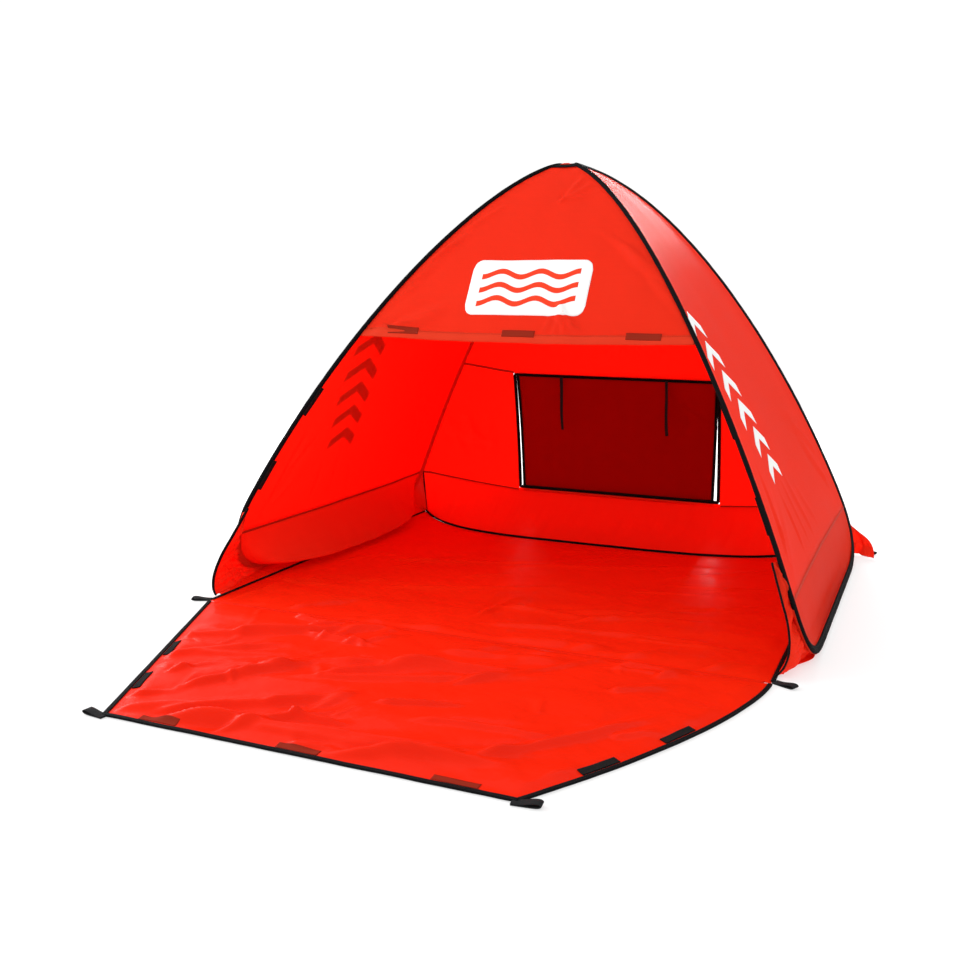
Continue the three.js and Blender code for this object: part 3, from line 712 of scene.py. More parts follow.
def seam_strip(name, path, normal, body):
    """A felled seam: a narrow strip on both faces of the cloth, with two rows of stitches."""
    section = [(-0.5, 0.30), (-0.44, 0.95), (0, 1.1), (0.44, 0.95), (0.5, 0.30),
               (0.5, -0.30), (0.44, -0.95), (0, -1.1), (-0.44, -0.95), (-0.5, -0.30)]
    section = [(b * SEAM_WIDTH, n * 0.001) for b, n in section]
    _, across, out = frames_along(path, normal)
    place(sweep_mesh(name, path, across, out, section, seam_cloth), body)
    cover = [(b * 1.02, n + 0.00025) for b, n in section[:5]] + [(-b * 1.02, 0.0001) for b, _ in section[:5]]
    place(sweep_mesh(f"{name}_face", path, across, out, cover, seam_face), body)
    rows = []
    for face in (1, -1):
        for offset in (-0.003, 0.003):
            rows.append((path + across * offset + out * face * 0.0010, out * face))
    place(stitch_mesh(f"{name}_stitches", rows, thread_red), body)


def side_seam(name, s):
    t = np.linspace(0.004, 0.996, 110)
    z = np.full_like(t, SEAM_Z)
    path = side_surface(s, t, z)
    seam_strip(f"side_seam_{name}", path, side_normal(s, z), f"{name}_side")


def closure_tab(name, s, part, z):
    """A hook-and-loop tab on the inner face of the hoop's front edge."""
    line, inward, out = HOOPS[s]
    front = (line[:, 1] < RIDGE_Y - 0.04) & (line[:, 2] > FRONT_FOOT_Z[-1])
    nearest = np.argmin(np.where(front, np.abs(line[:, 2] - z), 9))
    along = unit(np.cross(inward[nearest], out[nearest]))
    t = np.linspace(-0.05, 0.05, 26)
    wobble = 0.0003 * noise(t / 0.02, 0.5, 91 + s)
    path = line[nearest] + along * t[:, None] - out[nearest] * (0.0080 + wobble)[:, None]
    path = path + inward[nearest] * 0.005
    half = 0.012
    section = [(-half, -0.0004), (-half, 0.0005), (-half + 0.001, 0.0010), (half - 0.001, 0.0010), (half, 0.0005),
               (half, -0.0004), (half - 0.001, -0.0010), (-half + 0.001, -0.0010)]
    side = np.broadcast_to(inward[nearest], path.shape)
    normal = np.broadcast_to(out[nearest], path.shape)
    piece = sweep_mesh(f"closure_tab_{part}_{name}_pile", path, side, normal, section, pile_black)
    place(piece, f"{name}_side", f"closure_tab_{part}_{name}")
    border = [(path + side * k * 0.0098 - normal * 0.0010, -normal) for k in (-1, 1)]
    place(stitch_mesh(f"closure_tab_{part}_{name}_stitches", border, thread_black), f"{name}_side")


# ---- Prints: plain generic shapes ----
def band_points(u, low, high, rows=5):
    """Grid of a shape given by a lower and an upper edge over u."""
    share = np.linspace(0, 1, rows)[:, None]
    return np.broadcast_to(u, (rows, len(u))), low + (high - low) * share


PRINT_THICK = 0.0003
CHEVRONS = 6
CHEVRON_LOW, CHEVRON_HIGH = 0.40, 0.79
CHEVRON_HALF, CHEVRON_THICK, CHEVRON_PEAK = 0.092, 0.034, 0.046
CHEVRON_Y, CHEVRON_LEAN = SHIFT - 0.032, 0.28


def chevron_print(name, s):
    """A slim stack of chevrons that leans back with the panel."""
    for k in range(CHEVRONS):
        middle = CHEVRON_LOW + (CHEVRON_HIGH - CHEVRON_LOW) * k / (CHEVRONS - 1)
        shrink = 1 - 0.07 * abs(k - (CHEVRONS - 1) / 2)
        u = np.linspace(-1, 1, 25) * CHEVRON_HALF * shrink
        low = CHEVRON_PEAK * (1 - np.abs(u) / CHEVRON_HALF) - CHEVRON_THICK / 2
        u_grid, v_grid = band_points(u, low, low + CHEVRON_THICK)
        z = middle + v_grid
        y = CHEVRON_Y - (middle - CHEVRON_LOW) * CHEVRON_LEAN + u_grid
        grid = side_surface(s, side_share(s, y, z), z, out=0.0008)
        if s > 0:
            grid = grid[:, ::-1]
        place(sheet_mesh(f"side_print_{name}_{k + 1}", grid[::-1], print_white, thickness=PRINT_THICK), f"{name}_side")


# ---- Visor ----
VISOR_GAP = 0.0055  # the visor is sewn to the side of the sleeve


def visor_hem(x):
    return VISOR_HEM_Z + 0.002 - 0.010 * (1 - np.clip(np.abs(x) / 0.56, 0, 1) ** 2)


def visor_surface(x, z, out=0.0):
    half = side_x(z) - VISOR_GAP
    edge = np.maximum(half - np.abs(x), 0)
    gather = np.sin(2 * math.pi * (z / 0.026 + 1.5 * noise(z / 0.10, x * 6, 21)))
    pucker = 0.0012 * gather * np.exp(-edge / 0.022) * smooth(0, 0.01, edge)
    slack = 0.0065 * noise(x / 0.28, z / 0.20, 22) + 0.0026 * noise(x / 0.09, z / 0.16, 23)
    hem_wave = 0.0035 * noise(x / 0.11, 0.3, 24) * np.exp(-(z - VISOR_HEM_Z) / 0.05)
    away = (slack + hem_wave + 3.0 * creases(x, z, VISOR_PULLS)) * smooth(0, 0.06, edge) + pucker + out
    return points(x, front_y(z), z) + visor_normal(z + 0 * x) * away[..., None]


def visor_grid(rows, columns):
    share, u = np.meshgrid(np.linspace(0, 1, rows + 1), np.linspace(-1, 1, columns + 1), indexing="ij")
    root = math.sqrt(1 - VISOR_HEM_Z / RIDGE_Z) * (1 - share) + math.sqrt(0.006 / RIDGE_Z) * share
    level = RIDGE_Z * (1 - root ** 2)
    x = u * (side_x(level) - VISOR_GAP)
    hem_drop = (visor_hem(x) - VISOR_HEM_Z) * (1 - share) ** 6
    return x, level + hem_drop


def visor():
    x, z = visor_grid(96, 150)
    top = points(np.linspace(-1, 1, x.shape[1]) * 0.007, RIDGE_Y - 0.009, RIDGE_Z + 0.0005)
    grid = np.concatenate([visor_surface(x, z), top[None]])
    piece = sheet_mesh("visor_panel_cloth", grid[:, ::-1], wall_cloth)
    place(piece, "root", "visor_panel")
    declare(visor_surface(x, z)[::4, ::6])
    x = np.linspace(-1, 1, 150) * (float(side_x(VISOR_HEM_Z)) - VISOR_GAP - 0.004)
    hem = visor_hem(x)
    fold = [visor_surface(x, hem + dz, out) for dz, out in (
        (0.0235, -0.0016), (0.012, -0.0024), (0.001, -0.0020), (-0.0012, 0.0), (0.001, 0.0010),
        (0.012, 0.0011), (0.0235, 0.0009))]
    place(sheet_mesh("visor_hem", np.array(fold)[:, ::-1], seam_hem, thickness=0.0006), "root")
    path = visor_surface(x, hem + 0.021, 0.0014)
    place(stitch_mesh("visor_hem_stitches", [(path, visor_normal(hem + 0.021))], thread_red), "root")


def ridge_binding():
    """The short tape that joins the two hoops over the ridge."""
    share, u = np.meshgrid(np.linspace(-1, 1, 41), np.linspace(-1, 1, 15), indexing="ij")
    line, _, _ = HOOPS[1]
    near = line[line[:, 2] > RIDGE_Z - 0.03]
    near = near[np.argsort(near[:, 1])]
    y = np.interp(share, [-1, 1], [near[2, 1], near[-3, 1]])
    half = np.interp(y, near[:, 1], near[:, 0]) + 0.001
    z = np.interp(y, near[:, 1], near[:, 2]) + 0.0055 - 0.0022 * np.cos(math.pi * u / 2)
    z = z + 0.0004 * noise(y / 0.012, u * 2, 27)
    place(sheet_mesh("ridge_binding", points(u * half, y, z), binding_tape, thickness=0.0016), "root")


def box_outline(half_length, half_width, corner=0.002):
    """Closed outline of a patch with clipped corners."""
    a, b = half_length, half_width
    ring = [(-a + corner, -b), (a - corner, -b), (a, -b + corner), (a, b - corner), (a - corner, b),
            (-a + corner, b), (-a, b - corner), (-a, -b + corner), (-a + corner, -b)]
    return resample(np.array([(x, y, 0) for x, y in ring], float), 0.002)[:, :2]


PATCH_HALF = (0.049, 0.009)
PATCH_STITCHES = (0.0475, 0.0075)
VISOR_PATCH_X = 0.366
VISOR_PATCH_Z = VISOR_HEM_Z + 0.016


def patch_grid(across, along):
    """Local coordinates over a patch, along it and across it."""
    return np.meshgrid(np.linspace(-PATCH_HALF[0], PATCH_HALF[0], along),
                       np.linspace(-PATCH_HALF[1], PATCH_HALF[1], across))


def sewn_patch(node_name, body, pile, pile_thickness, shadow_sheet, stitches):
    """A patch of pile under the cloth, a painted shadow on the cloth over it where it shows through, and its stitches.
    """
    place(sheet_mesh(f"{node_name}_pile", pile, pile_black, thickness=pile_thickness), body, node_name)
    place(sheet_mesh(f"{node_name}_seen", shadow_sheet, patch_painted_shadow, thickness=0.0004), body)
    place(stitch_mesh(f"{node_name}_stitches", [stitches], thread_red), body)


def visor_patches():
    for name, middle in (("left", -VISOR_PATCH_X), ("centre", 0.0), ("right", VISOR_PATCH_X)):
        u, v = patch_grid(7, 26)
        z = VISOR_PATCH_Z + v
        inner = visor_surface(middle + u, z, -0.0042 + 0.0002 * noise(u / 0.002, v / 0.002, 26))
        # A dark sheet just outside the visor's cloth over each patch: the patch's painted shadow.
        visor_patch_shadow = visor_surface(middle + u * 1.01, z, 0.0018)
        ring = box_outline(*PATCH_STITCHES)
        level = VISOR_PATCH_Z + ring[:, 1]
        sewn_patch(f"visor_patch_{name}", "root", inner, 0.0015, visor_patch_shadow[:, ::-1],
                   (visor_surface(middle + ring[:, 0], level, 0.0021), visor_normal(level)))


BADGE_HALF, BADGE_CORNER = 0.185, 0.028
BADGE_LOW, BADGE_HIGH = 0.835, 0.992
WAVE_FIRST, WAVE_STEP = 0.040, 0.0385  # above the badge's lower edge, and from wave to wave
WAVE_RISE, WAVE_HALF, WAVE_MARGIN = 0.0085, 0.0075, 0.034


def visor_badge():
    """A plain white rounded panel with three red waves."""
    across = np.linspace(-1, 1, 81)
    u = across * BADGE_HALF
    into = np.clip(np.abs(u) - (BADGE_HALF - BADGE_CORNER), 0, BADGE_CORNER)
    cut = BADGE_CORNER - np.sqrt(np.maximum(BADGE_CORNER ** 2 - into ** 2, 0))
    grid = visor_surface(*band_points(u, BADGE_LOW + cut, BADGE_HIGH - cut, rows=25), 0.0009)
    place(sheet_mesh("visor_badge", grid[:, ::-1], print_white, thickness=PRINT_THICK), "root")
    for k in range(3):
        u = across * (BADGE_HALF - WAVE_MARGIN)
        middle = BADGE_LOW + WAVE_FIRST + WAVE_STEP * k + WAVE_RISE * np.sin(u / 0.151 * 2.5 * math.pi)
        grid = visor_surface(*band_points(u, middle - WAVE_HALF, middle + WAVE_HALF), 0.0013)
        place(sheet_mesh(f"visor_badge_wave_{k + 1}", grid[:, ::-1], print_red, thickness=PRINT_THICK), "root")


# ---- Back wall, window and flap ----
def wall_relief(x, z):
    slack = 0.008 * noise(x / 0.26, z / 0.30, 33) + 0.0030 * noise(x / 0.08, z / 0.20, 34)
    seam = np.exp(-np.abs(z - wall_seam_z(x)) / 0.02)
    window = smooth(0, 0.05, np.maximum(np.abs(x) - WINDOW_HALF, np.maximum(WINDOW_BOTTOM - z, z - WINDOW_TOP)))
    half = side_x(z) - VISOR_GAP
    edge = np.maximum(half - np.abs(x), 0)
    return (slack + 2.6 * creases(x, z, WALL_PULLS)) * (1 - seam) * window * smooth(0, 0.06, edge)


def wall_surface(x, z, out=0.0):
    away = wall_relief(x, z) + out
    return points(x, rear_y(z), z) + rear_normal(z + 0 * x) * away[..., None]


def upper_wall():
    low_rows, window_rows, top_rows = 3, 44, 60
    side_columns, window_columns = 26, 70
    edge_x = float(side_x(SEAM_Z)) - VISOR_GAP
    below = np.linspace(float(wall_seam_z(WINDOW_HALF)), WINDOW_BOTTOM, low_rows + 1)[:-1]
    inner = np.concatenate([below, heights(WINDOW_BOTTOM, WINDOW_TOP, window_rows)])
    outer = heights(float(wall_seam_z(edge_x)), WINDOW_TOP, low_rows + window_rows)
    above = heights(WINDOW_TOP, RIDGE_Z - 0.003, top_rows)[1:]
    inner, outer = np.concatenate([inner, above])[:, None], np.concatenate([outer, above])[:, None]
    half = side_x(outer) - VISOR_GAP
    window = np.minimum(WINDOW_HALF, half * 0.7)
    share = np.linspace(1, 0, side_columns + 1)[None, :-1]
    across = np.linspace(-1, 1, window_columns + 1)[None]
    left = -(window + (half - window) * share)
    x = np.concatenate([left, window * across, -left[:, ::-1]], axis=1)
    blend_z = np.concatenate([share, 0 * across, share[:, ::-1]], axis=1)
    z = inner + (outer - inner) * blend_z
    grid = wall_surface(x, z)
    ridge_x = np.linspace(-1, 1, x.shape[1]) * 0.006
    grid = np.concatenate([grid, points(ridge_x, RIDGE_Y - 0.008, RIDGE_Z)[None]])
    keep = np.ones((grid.shape[0] - 1, grid.shape[1] - 1), bool)
    keep[low_rows:low_rows + window_rows, side_columns:side_columns + window_columns] = False
    piece = sheet_mesh("back_panel_upper_cloth", grid, wall_cloth, keep=keep)
    place(piece, "root", "back_panel_upper")
    declare(grid)


def lower_wall_surface(u, v):
    """The lower back panel: u from its left edge to its right, v from the seam down to the floor."""
    top_x = u * (side_x(SEAM_Z) - VISOR_GAP)
    foot_x = u * (FLOOR_HALF - 0.004)
    seam = wall_seam_z(top_x)
    top = points(top_x, rear_y(seam), seam)
    slope = 4 * FLOOR_REAR_BOW * np.abs(foot_x / 0.790) ** 3 / 0.790
    foot = points(foot_x, floor_rear_y(foot_x) + 0.007 * np.hypot(1, slope), 0.0042)
    base = top + (foot - top) * v[..., None]
    along = unit(foot - top)
    normal = unit(np.cross(along, points(1 + 0 * u, 0, 0)))
    normal = np.where(normal[..., 1:2] < 0, -normal, normal)
    middle = np.sin(math.pi * v)
    folds = 0.010 * noise(u / 0.13, v * 0.5, 36) + 0.005 * noise(u / 0.05, v * 0.8, 37)
    slack = 0.012 * middle + folds * middle + 0.0022 * noise(u / 0.02, v, 38) * middle
    slack = slack * smooth(0, 0.06, 1 - np.abs(u))
    return base + normal * slack[..., None]


def lower_wall():
    u, v = np.meshgrid(np.linspace(-1, 1, 221), np.linspace(0, 1, 33))
    grid = lower_wall_surface(u, v)
    piece = sheet_mesh("back_panel_lower_cloth", grid[::-1], wall_cloth)
    place(piece, "root", "back_panel_lower")
    declare(grid[::4, ::6])


UPPER_SEAM_Z = 0.622  # where the seams beside the window meet the side panels


def wall_seams():
    edge = float(side_x(SEAM_Z)) - VISOR_GAP - 0.002
    for name, s in SIDES:
        x = s * np.linspace(edge, WINDOW_HALF + 0.004, 60)
        z = wall_seam_z(x)
        seam_strip(f"back_seam_lower_{name}", wall_surface(x, z), rear_normal(z), "root")
        x = s * np.linspace(float(side_x(UPPER_SEAM_Z)) - VISOR_GAP - 0.002, WINDOW_HALF - 0.002, 40)
        z = np.linspace(UPPER_SEAM_Z, WINDOW_TOP + 0.004, 40)
        seam_strip(f"back_seam_upper_{name}", wall_surface(x, z), rear_normal(z), "root")


def rounded_band(width, height):
    """Section of a folded tape lying over an edge: flat, with soft shoulders."""
    a, b = width / 2, height / 2
    return [(-a, -b * 0.5), (-a * 0.93, -b), (a * 0.93, -b), (a, -b * 0.5), (a, b * 0.5), (a * 0.93, b), (0, b * 1.08),
            (-a * 0.93, b), (-a, b * 0.5)]


def strap_section(half, thick, shoulder, edge):
    """Section of a flat strap, with its shoulders and edges as shares of its half width and thickness."""
    right = [(half * shoulder, -thick), (half, -thick * edge), (half, thick * edge), (half * shoulder, thick)]
    left = [(-a, -b) for a, b in right]
    return [left[2], left[3], *right, left[0], left[1]]


def tape(name, path, normal, width, height, body, stitch_faces=(1,), seed=0, closed=False):
    """A binding tape along a path, slightly puckered, with stitches near one edge on the named faces."""
    _, across, out = frames_along(path, normal, closed)
    run = np.arange(len(path)) * float(np.linalg.norm(path[1] - path[0]))
    sections = np.repeat(np.array(rounded_band(width, height))[None], len(path), axis=0)
    sections[:, :, 1] *= (1 + 0.12 * noise(run / 0.03, 0.5, 101 + seed))[:, None]
    sections[:, :, 0] *= (1 + 0.05 * noise(run / 0.06, 1.5, 102 + seed))[:, None]
    place(sweep_mesh(name, path, across, out, sections, binding_tape, closed), body, name.removesuffix("_tape"))
    rows = []
    for face in stitch_faces:
        for offset in (-0.32, 0.32):
            rows.append((path + across * width * offset + out * face * (height / 2 + 0.0001), out * face))
    place(stitch_mesh(f"{name}_stitches", rows, thread_black), body)


def window_binding():
    """Tape round the window: one ring of folded tape on both faces of the wall."""
    inset = 0.0055  # from the opening's edge to the middle of the tape
    a, low, high = WINDOW_HALF - inset, WINDOW_BOTTOM + inset, WINDOW_TOP - inset
    corners = [(-a, low), (a, low), (a, high), (-a, high), (-a, low)]
    ring = resample(np.array([(x, z, 0) for x, z in corners]), 0.008)[:-1]
    path = wall_surface(ring[:, 0], ring[:, 1])
    tape("window_binding_tape", path, rear_normal(ring[:, 1]), 0.012, 0.0042, "root",
         stitch_faces=(1, -1), closed=True)


FLAP_HALF = 0.372
FLAP_TOP = WINDOW_TOP - 0.002
FLAP_BOTTOM = WINDOW_BOTTOM + 0.013


def flap_surface(u, z):
    """The flap hangs behind the window; its free sides swing in and out a little."""
    drop = (FLAP_TOP - z) / (FLAP_TOP - FLAP_BOTTOM)
    x = u * (FLAP_HALF + 0.004) - 0.010 * drop * np.abs(u) ** 3 * np.sign(u) * np.where(u < 0, 0.3, 1.5)
    ripple = 0.006 * noise(u * 3.2, drop * 0.8, 44) + 0.0035 * noise(u * 8, drop * 1.4, 45)
    free = smooth(0, 0.25, drop)
    lines = creases(x, z, FLAP_PULLS)
    z = z - 0.021 * drop * (1 - smooth(0.45, 0.95, u)) - 0.006 * drop * smooth(0.45, 0.95, u)
    away = FLAP_OUT + 0.002 + (ripple + lines + 0.004 * drop) * free
    return points(x, rear_y(z), z) + rear_normal(z + 0 * u) * away[..., None]


def window_flap():
    z, u = np.meshgrid(np.linspace(FLAP_BOTTOM, FLAP_TOP, 64), np.linspace(-1, 1, 110), indexing="ij")
    grid = flap_surface(u, z)
    piece = sheet_mesh("window_flap_cloth", grid, flap_cloth)
    place(piece, "flap", "window_flap")
    declare(grid[::4, ::6])
    edge = 1.012
    corners = [(-edge, FLAP_TOP), (-edge, FLAP_BOTTOM - 0.004), (edge, FLAP_BOTTOM - 0.004), (edge, FLAP_TOP)]
    ring = resample(np.array([(x * FLAP_HALF, z, 0) for x, z in corners]), 0.007)
    path = flap_surface(ring[:, 0] / FLAP_HALF, ring[:, 1])
    tape("window_flap_binding_tape", path, rear_normal(ring[:, 1]), 0.011, 0.0030, "flap",
         stitch_faces=(1, -1), seed=7)


def window_ties():
    """Flat ties sewn into the window's upper edge; they hang free."""
    for name, s in SIDES:
        lowest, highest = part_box(f"window_tie_{name}")
        top, y = highest[2], lowest[1] + 0.0008
        drop = np.linspace(0, TIE_LENGTH, 41)
        sway = drop / TIE_LENGTH
        x = s * TIE_X + 0.010 * sway ** 1.5 + 0.0015 * np.sin(6 * sway)
        path = points(x, y - 0.0015 * np.sin(3 * sway), top - drop)
        turn = 0.35 * np.sin(2.2 * sway + s)
        normal = points(np.sin(turn), np.cos(turn), 0 * turn)
        _, across, out = frames_along(path, normal)
        section = strap_section(TIE_WIDTH / 2, 0.0008, 0.9, 0.5)
        piece = sweep_mesh(f"window_tie_{name}_tape", path, across, out, section, webbing_tape)
        place(piece, "root", f"window_tie_{name}")


# ---- Floor and door on the ground ----
GROUND_FOLDS = (  # count, x, y, heading (mean, spread), length, width, height, bend, share behind x and y
    (60, (-0.75, 0.65), (-1.38, 0.15), (0.55, 0.38), (0.12, 0.42), (0.007, 0.017), (0.0045, 0.0095), 0.35, 0.5),
    (30, (-0.55, 0.60), (-1.36, 0.45), (0.42, 0.22), (0.35, 0.80), (0.012, 0.022), (0.006, 0.011), 0.15, 0.5),
    (16, (-0.70, 0.60), (-1.38, -0.70), (1.9, 0.6), (0.08, 0.22), (0.006, 0.012), (0.0015, 0.0035), 0.5, 0.0),
)


def ground_creases():
    rng = np.random.default_rng(29)
    lines = []
    for count, xs, ys, headings, lengths, widths, rises, bend, behind in GROUND_FOLDS:
        for _ in range(count):
            x, y = rng.uniform(*xs), rng.uniform(*ys)
            angle = rng.normal(*headings)
            length = rng.uniform(*lengths)
            back = length * behind
            lines.append((x - back * math.cos(angle), y - back * math.sin(angle), angle, length,
                          rng.uniform(*widths), rng.uniform(*rises), rng.uniform(-bend, bend)))
    return lines


GROUND_CREASES = ground_creases()


def ground_relief(x, y):
    """Height of the loose cloth above the ground; y is measured from the middle of the floor's sides."""
    front = 1 - smooth(-0.45, 0.15, y)
    broad = 0.009 * (noise(x / 0.33, y / 0.17, 51) + 0.45) + 0.0050 * noise(x / 0.17, y / 0.07, 52)
    folds = 1.5 * creases(x, y, GROUND_CREASES)
    fine = 0.0022 * crumple(x + 0.4 * y, y, 0.11, 53)
    return np.maximum(0, (broad + folds) * (0.40 + 0.60 * front) + fine * (0.4 + 0.6 * front)) + 0.0004


GROUND_EDGE_Z = 0.0024
GROUND_BINDING = (0.0105, 0.0048)  # width and height
FLOOR_LIFT, DOOR_LIFT = 0.0012, 0.0026  # under the loose cloth
GROUND_SEAM = [(-0.0065, 0), (-0.0055, 0.0007), (0.0055, 0.0007), (0.0065, 0), (0.0055, -0.0004), (-0.0055, -0.0004)]
DOOR_GAP = 0.0048  # the door's cloth starts under the edge of the seam


def floor_surface(x, y):
    """y in the row frame."""
    edge = np.minimum(FLOOR_HALF - np.abs(x), floor_rear_y(x) - y)
    held = smooth(0.0, 0.05, edge) * smooth(0.0, 0.05, y - HINGE_Y)
    z = GROUND_EDGE_Z * (1 - held) + (ground_relief(x, y - SHIFT) + FLOOR_LIFT) * held
    return points(x, y, z)


def floor():
    u, v = np.meshgrid(np.linspace(-1, 1, 201), np.linspace(0, 1, 181))
    x = u * (FLOOR_HALF + 0.003)
    y = HINGE_Y + (floor_rear_y(x) + 0.003 - HINGE_Y) * v
    grid = floor_surface(x, y)
    piece = sheet_mesh("floor_sheet_cloth", grid[:, ::-1], ground_cloth)
    place(piece, "root", "floor_sheet")
    declare(grid[::6, ::6])
    for name, s in SIDES:
        y = np.linspace(FLOOR_FRONT_Y + 0.008, float(floor_rear_y(FLOOR_HALF)) - 0.004, 170)
        path = points(s * (FLOOR_HALF + 0.0050), y, 0.0029 + 0.0006 * noise(y / 0.06, 0.5, 54 + s))
        tape(f"floor_binding_{name}_tape", path, UP, *GROUND_BINDING, "root", seed=3 + s)
    x = np.linspace(-FLOOR_HALF - 0.001, FLOOR_HALF + 0.001, 240)
    path = points(x, floor_rear_y(x), 0.0046 + 0.0030 * np.abs(noise(x / 0.16, 0.5, 57)))
    path = resample(path, 0.009)
    _, across, _ = frames_along(path, UP)
    path = path + across * np.where(across[:, 1:2] > 0, 1, -1) * 0.006
    tape("floor_binding_rear_tape", path, (0, 0.7, 1), 0.0145, 0.0056, "root", seed=9)
    x = np.linspace(-DOOR_HALF_BACK + 0.01, DOOR_HALF_BACK - 0.01, 200)
    path = points(x, HINGE_Y + 0.001, GROUND_EDGE_Z + 0.0008)
    place(sweep_mesh("floor_door_seam", path, *frames_along(path, UP)[1:], GROUND_SEAM, ground_cloth), "root")
    rows = [(path + np.array([0, dy, 0.0008]), UP) for dy in (-0.003, 0.003)]
    place(stitch_mesh("floor_door_seam_stitches", rows, thread_red), "root")


def door_surface(x, d, out=0.0):
    """d is the distance in front of the hinge seam."""
    edge = np.minimum(door_half(d, x) - np.abs(x), DOOR_LENGTH - d)
    held = smooth(0.0, 0.045, edge) * smooth(0.0, 0.05, d)
    z = GROUND_EDGE_Z * (1 - held) + (ground_relief(x, HINGE_Y - SHIFT - d) + DOOR_LIFT) * held
    return points(x, HINGE_Y - d, z + out)


def door():
    d, u = np.meshgrid(np.linspace(DOOR_GAP, DOOR_LENGTH + 0.002, 181), np.linspace(-1, 1, 221), indexing="ij")
    x = u * (door_half(d, u) + 0.003)
    grid = door_surface(x, d)
    piece = sheet_mesh("door_sheet_cloth", grid, ground_cloth)
    place(piece, "door", "door_sheet")
    declare(grid[::6, ::6])
    for name, s in SIDES:
        d = np.linspace(0.008, DOOR_LENGTH + 0.004, 110)
        path = points(s * door_half(d, s), HINGE_Y - d, 0.0029 + 0.0008 * noise(d / 0.06, 0.5, 61 + s))
        _, across, _ = frames_along(path, UP)
        path = path + across * np.where(across[:, :1] * s > 0, 1, -1) * 0.0055
        tape(f"door_binding_{name}_tape", path, UP, *GROUND_BINDING, "door", seed=13 + s)
    x = np.linspace(-DOOR_HALF_FRONT - 0.006, DOOR_HALF_FRONT + 0.006, 130)
    path = points(x, HINGE_Y - DOOR_LENGTH - 0.0050, 0.0030 + 0.0008 * noise(x / 0.07, 0.5, 65))
    tape("door_binding_front_tape", path, UP, 0.0110, 0.0050, "door", seed=17)


DOOR_PATCH_X = 0.3477
DOOR_PATCH_D = DOOR_LENGTH - 0.014
DOOR_PATCH_IN = 0.013  # from the door's side edge to the middle of a patch


def door_patches():
    for name, middle in (("left", -DOOR_PATCH_X), ("centre", 0.0), ("right", DOOR_PATCH_X)):
        u, v = patch_grid(7, 26)
        d = DOOR_PATCH_D + v
        under = points(middle + u, HINGE_Y - d, 0.0006 + 0.0001 * noise(u / 0.003, v / 0.003, 66))
        ring = box_outline(*PATCH_STITCHES)
        # The sheet just over the door's cloth, passed third, is the patch's painted shadow.
        sewn_patch(f"door_patch_front_{name}", "door", under, 0.0009, door_surface(middle + u, d, 0.0009),
                   (door_surface(middle + ring[:, 0], DOOR_PATCH_D + ring[:, 1], 0.0014), UP))
    for name, s in SIDES:
        for part, distance in (("rear", 0.390), ("front", 0.600)):
            turn = math.atan(float(door_half(distance + 0.02, s) - door_half(distance - 0.02, s)) / 0.04)
            u, v = np.meshgrid(np.linspace(-0.009, 0.009, 8), np.linspace(-0.049, 0.049, 27))
            d = distance + v * math.cos(turn) - u * math.sin(turn)
            middle = float(door_half(distance, s)) - DOOR_PATCH_IN
            x = s * (middle + u * math.cos(turn) + v * math.sin(turn))
            level = float(door_surface(np.array(s * middle), np.array(distance))[2])
            grid = door_surface(x, d, 0.0022 + 0.0002 * noise(u / 0.003, v / 0.003, 67))
            grid[..., 2] = np.maximum(grid[..., 2], level)
            grid = grid if s < 0 else grid[:, ::-1]
            node_name = f"door_patch_side_{name}_{part}"
            place(sheet_mesh(f"{node_name}_pile", grid, pile_black, thickness=0.0018), "door", node_name)


# ---- Peg loops ----
LOOP_PROFILE = np.array([  # distance from the corner and height: out along the ground, round the eye and back
    (0.000, 0.0012), (0.020, 0.0011), (0.040, 0.0011), (0.051, 0.0018), (0.0568, 0.0042), (0.0572, 0.0068),
    (0.0530, 0.0094), (0.0430, 0.0092), (0.0300, 0.0062), (0.0180, 0.0040), (0.0080, 0.0034), (0.000, 0.0034)])
LOOP_HALF = 0.0110


def peg_loop(node_name, x, y, direction, body):
    """A webbing strap folded into a flat loop with a small eye at its tip."""
    t, fine = np.linspace(0, 1, len(LOOP_PROFILE)), np.linspace(0, 1, 61)
    run, rise = (np.interp(fine, t, values) for values in LOOP_PROFILE.T)
    for _ in range(6):
        run[1:-1] = (run[:-2] + 2 * run[1:-1] + run[2:]) / 4
        rise[1:-1] = (rise[:-2] + 2 * rise[1:-1] + rise[2:]) / 4
    c, s = math.cos(direction), math.sin(direction)
    path = points(x + run * c, y + run * s, rise)
    across = np.broadcast_to(np.array([-s, c, 0.0]), path.shape)
    along = unit(np.gradient(path, axis=0))
    out = np.cross(along, across)
    section = strap_section(LOOP_HALF, 0.0011, 0.94, 0.4)
    place(sweep_mesh(f"{node_name}_strap", path, across, out, section, webbing_tape), body, node_name)
    bar = np.linspace(-LOOP_HALF * 0.8, LOOP_HALF * 0.8, 12)
    rows = []
    for distance in (0.010, 0.014, 0.018):
        level = 0.0047 + (distance - 0.008) * 0.06
        rows.append((points(x + distance * c - bar * s, y + distance * s + bar * c, level), UP))
    place(stitch_mesh(f"{node_name}_strap_stitches", rows, thread_black, pitch=0.0018,
                      size=(0.0014, 0.0006, 0.0004)), body)


def peg_loops():
    for name, s in SIDES:
        outward = 0.0 if s > 0 else math.pi
        peg_loop(f"peg_loop_floor_{name}", s * 0.812, SHIFT - 0.606, outward - s * 0.45, "root")
        peg_loop(f"peg_loop_rear_{name}", s * 0.906, SHIFT + 0.782, math.pi / 2 - s * 0.6, "root")
        corner = (s * (DOOR_HALF_FRONT - 0.004), HINGE_Y - DOOR_LENGTH - 0.014)
        peg_loop(f"peg_loop_door_{name}", *corner, outward + s * 0.12, "door")


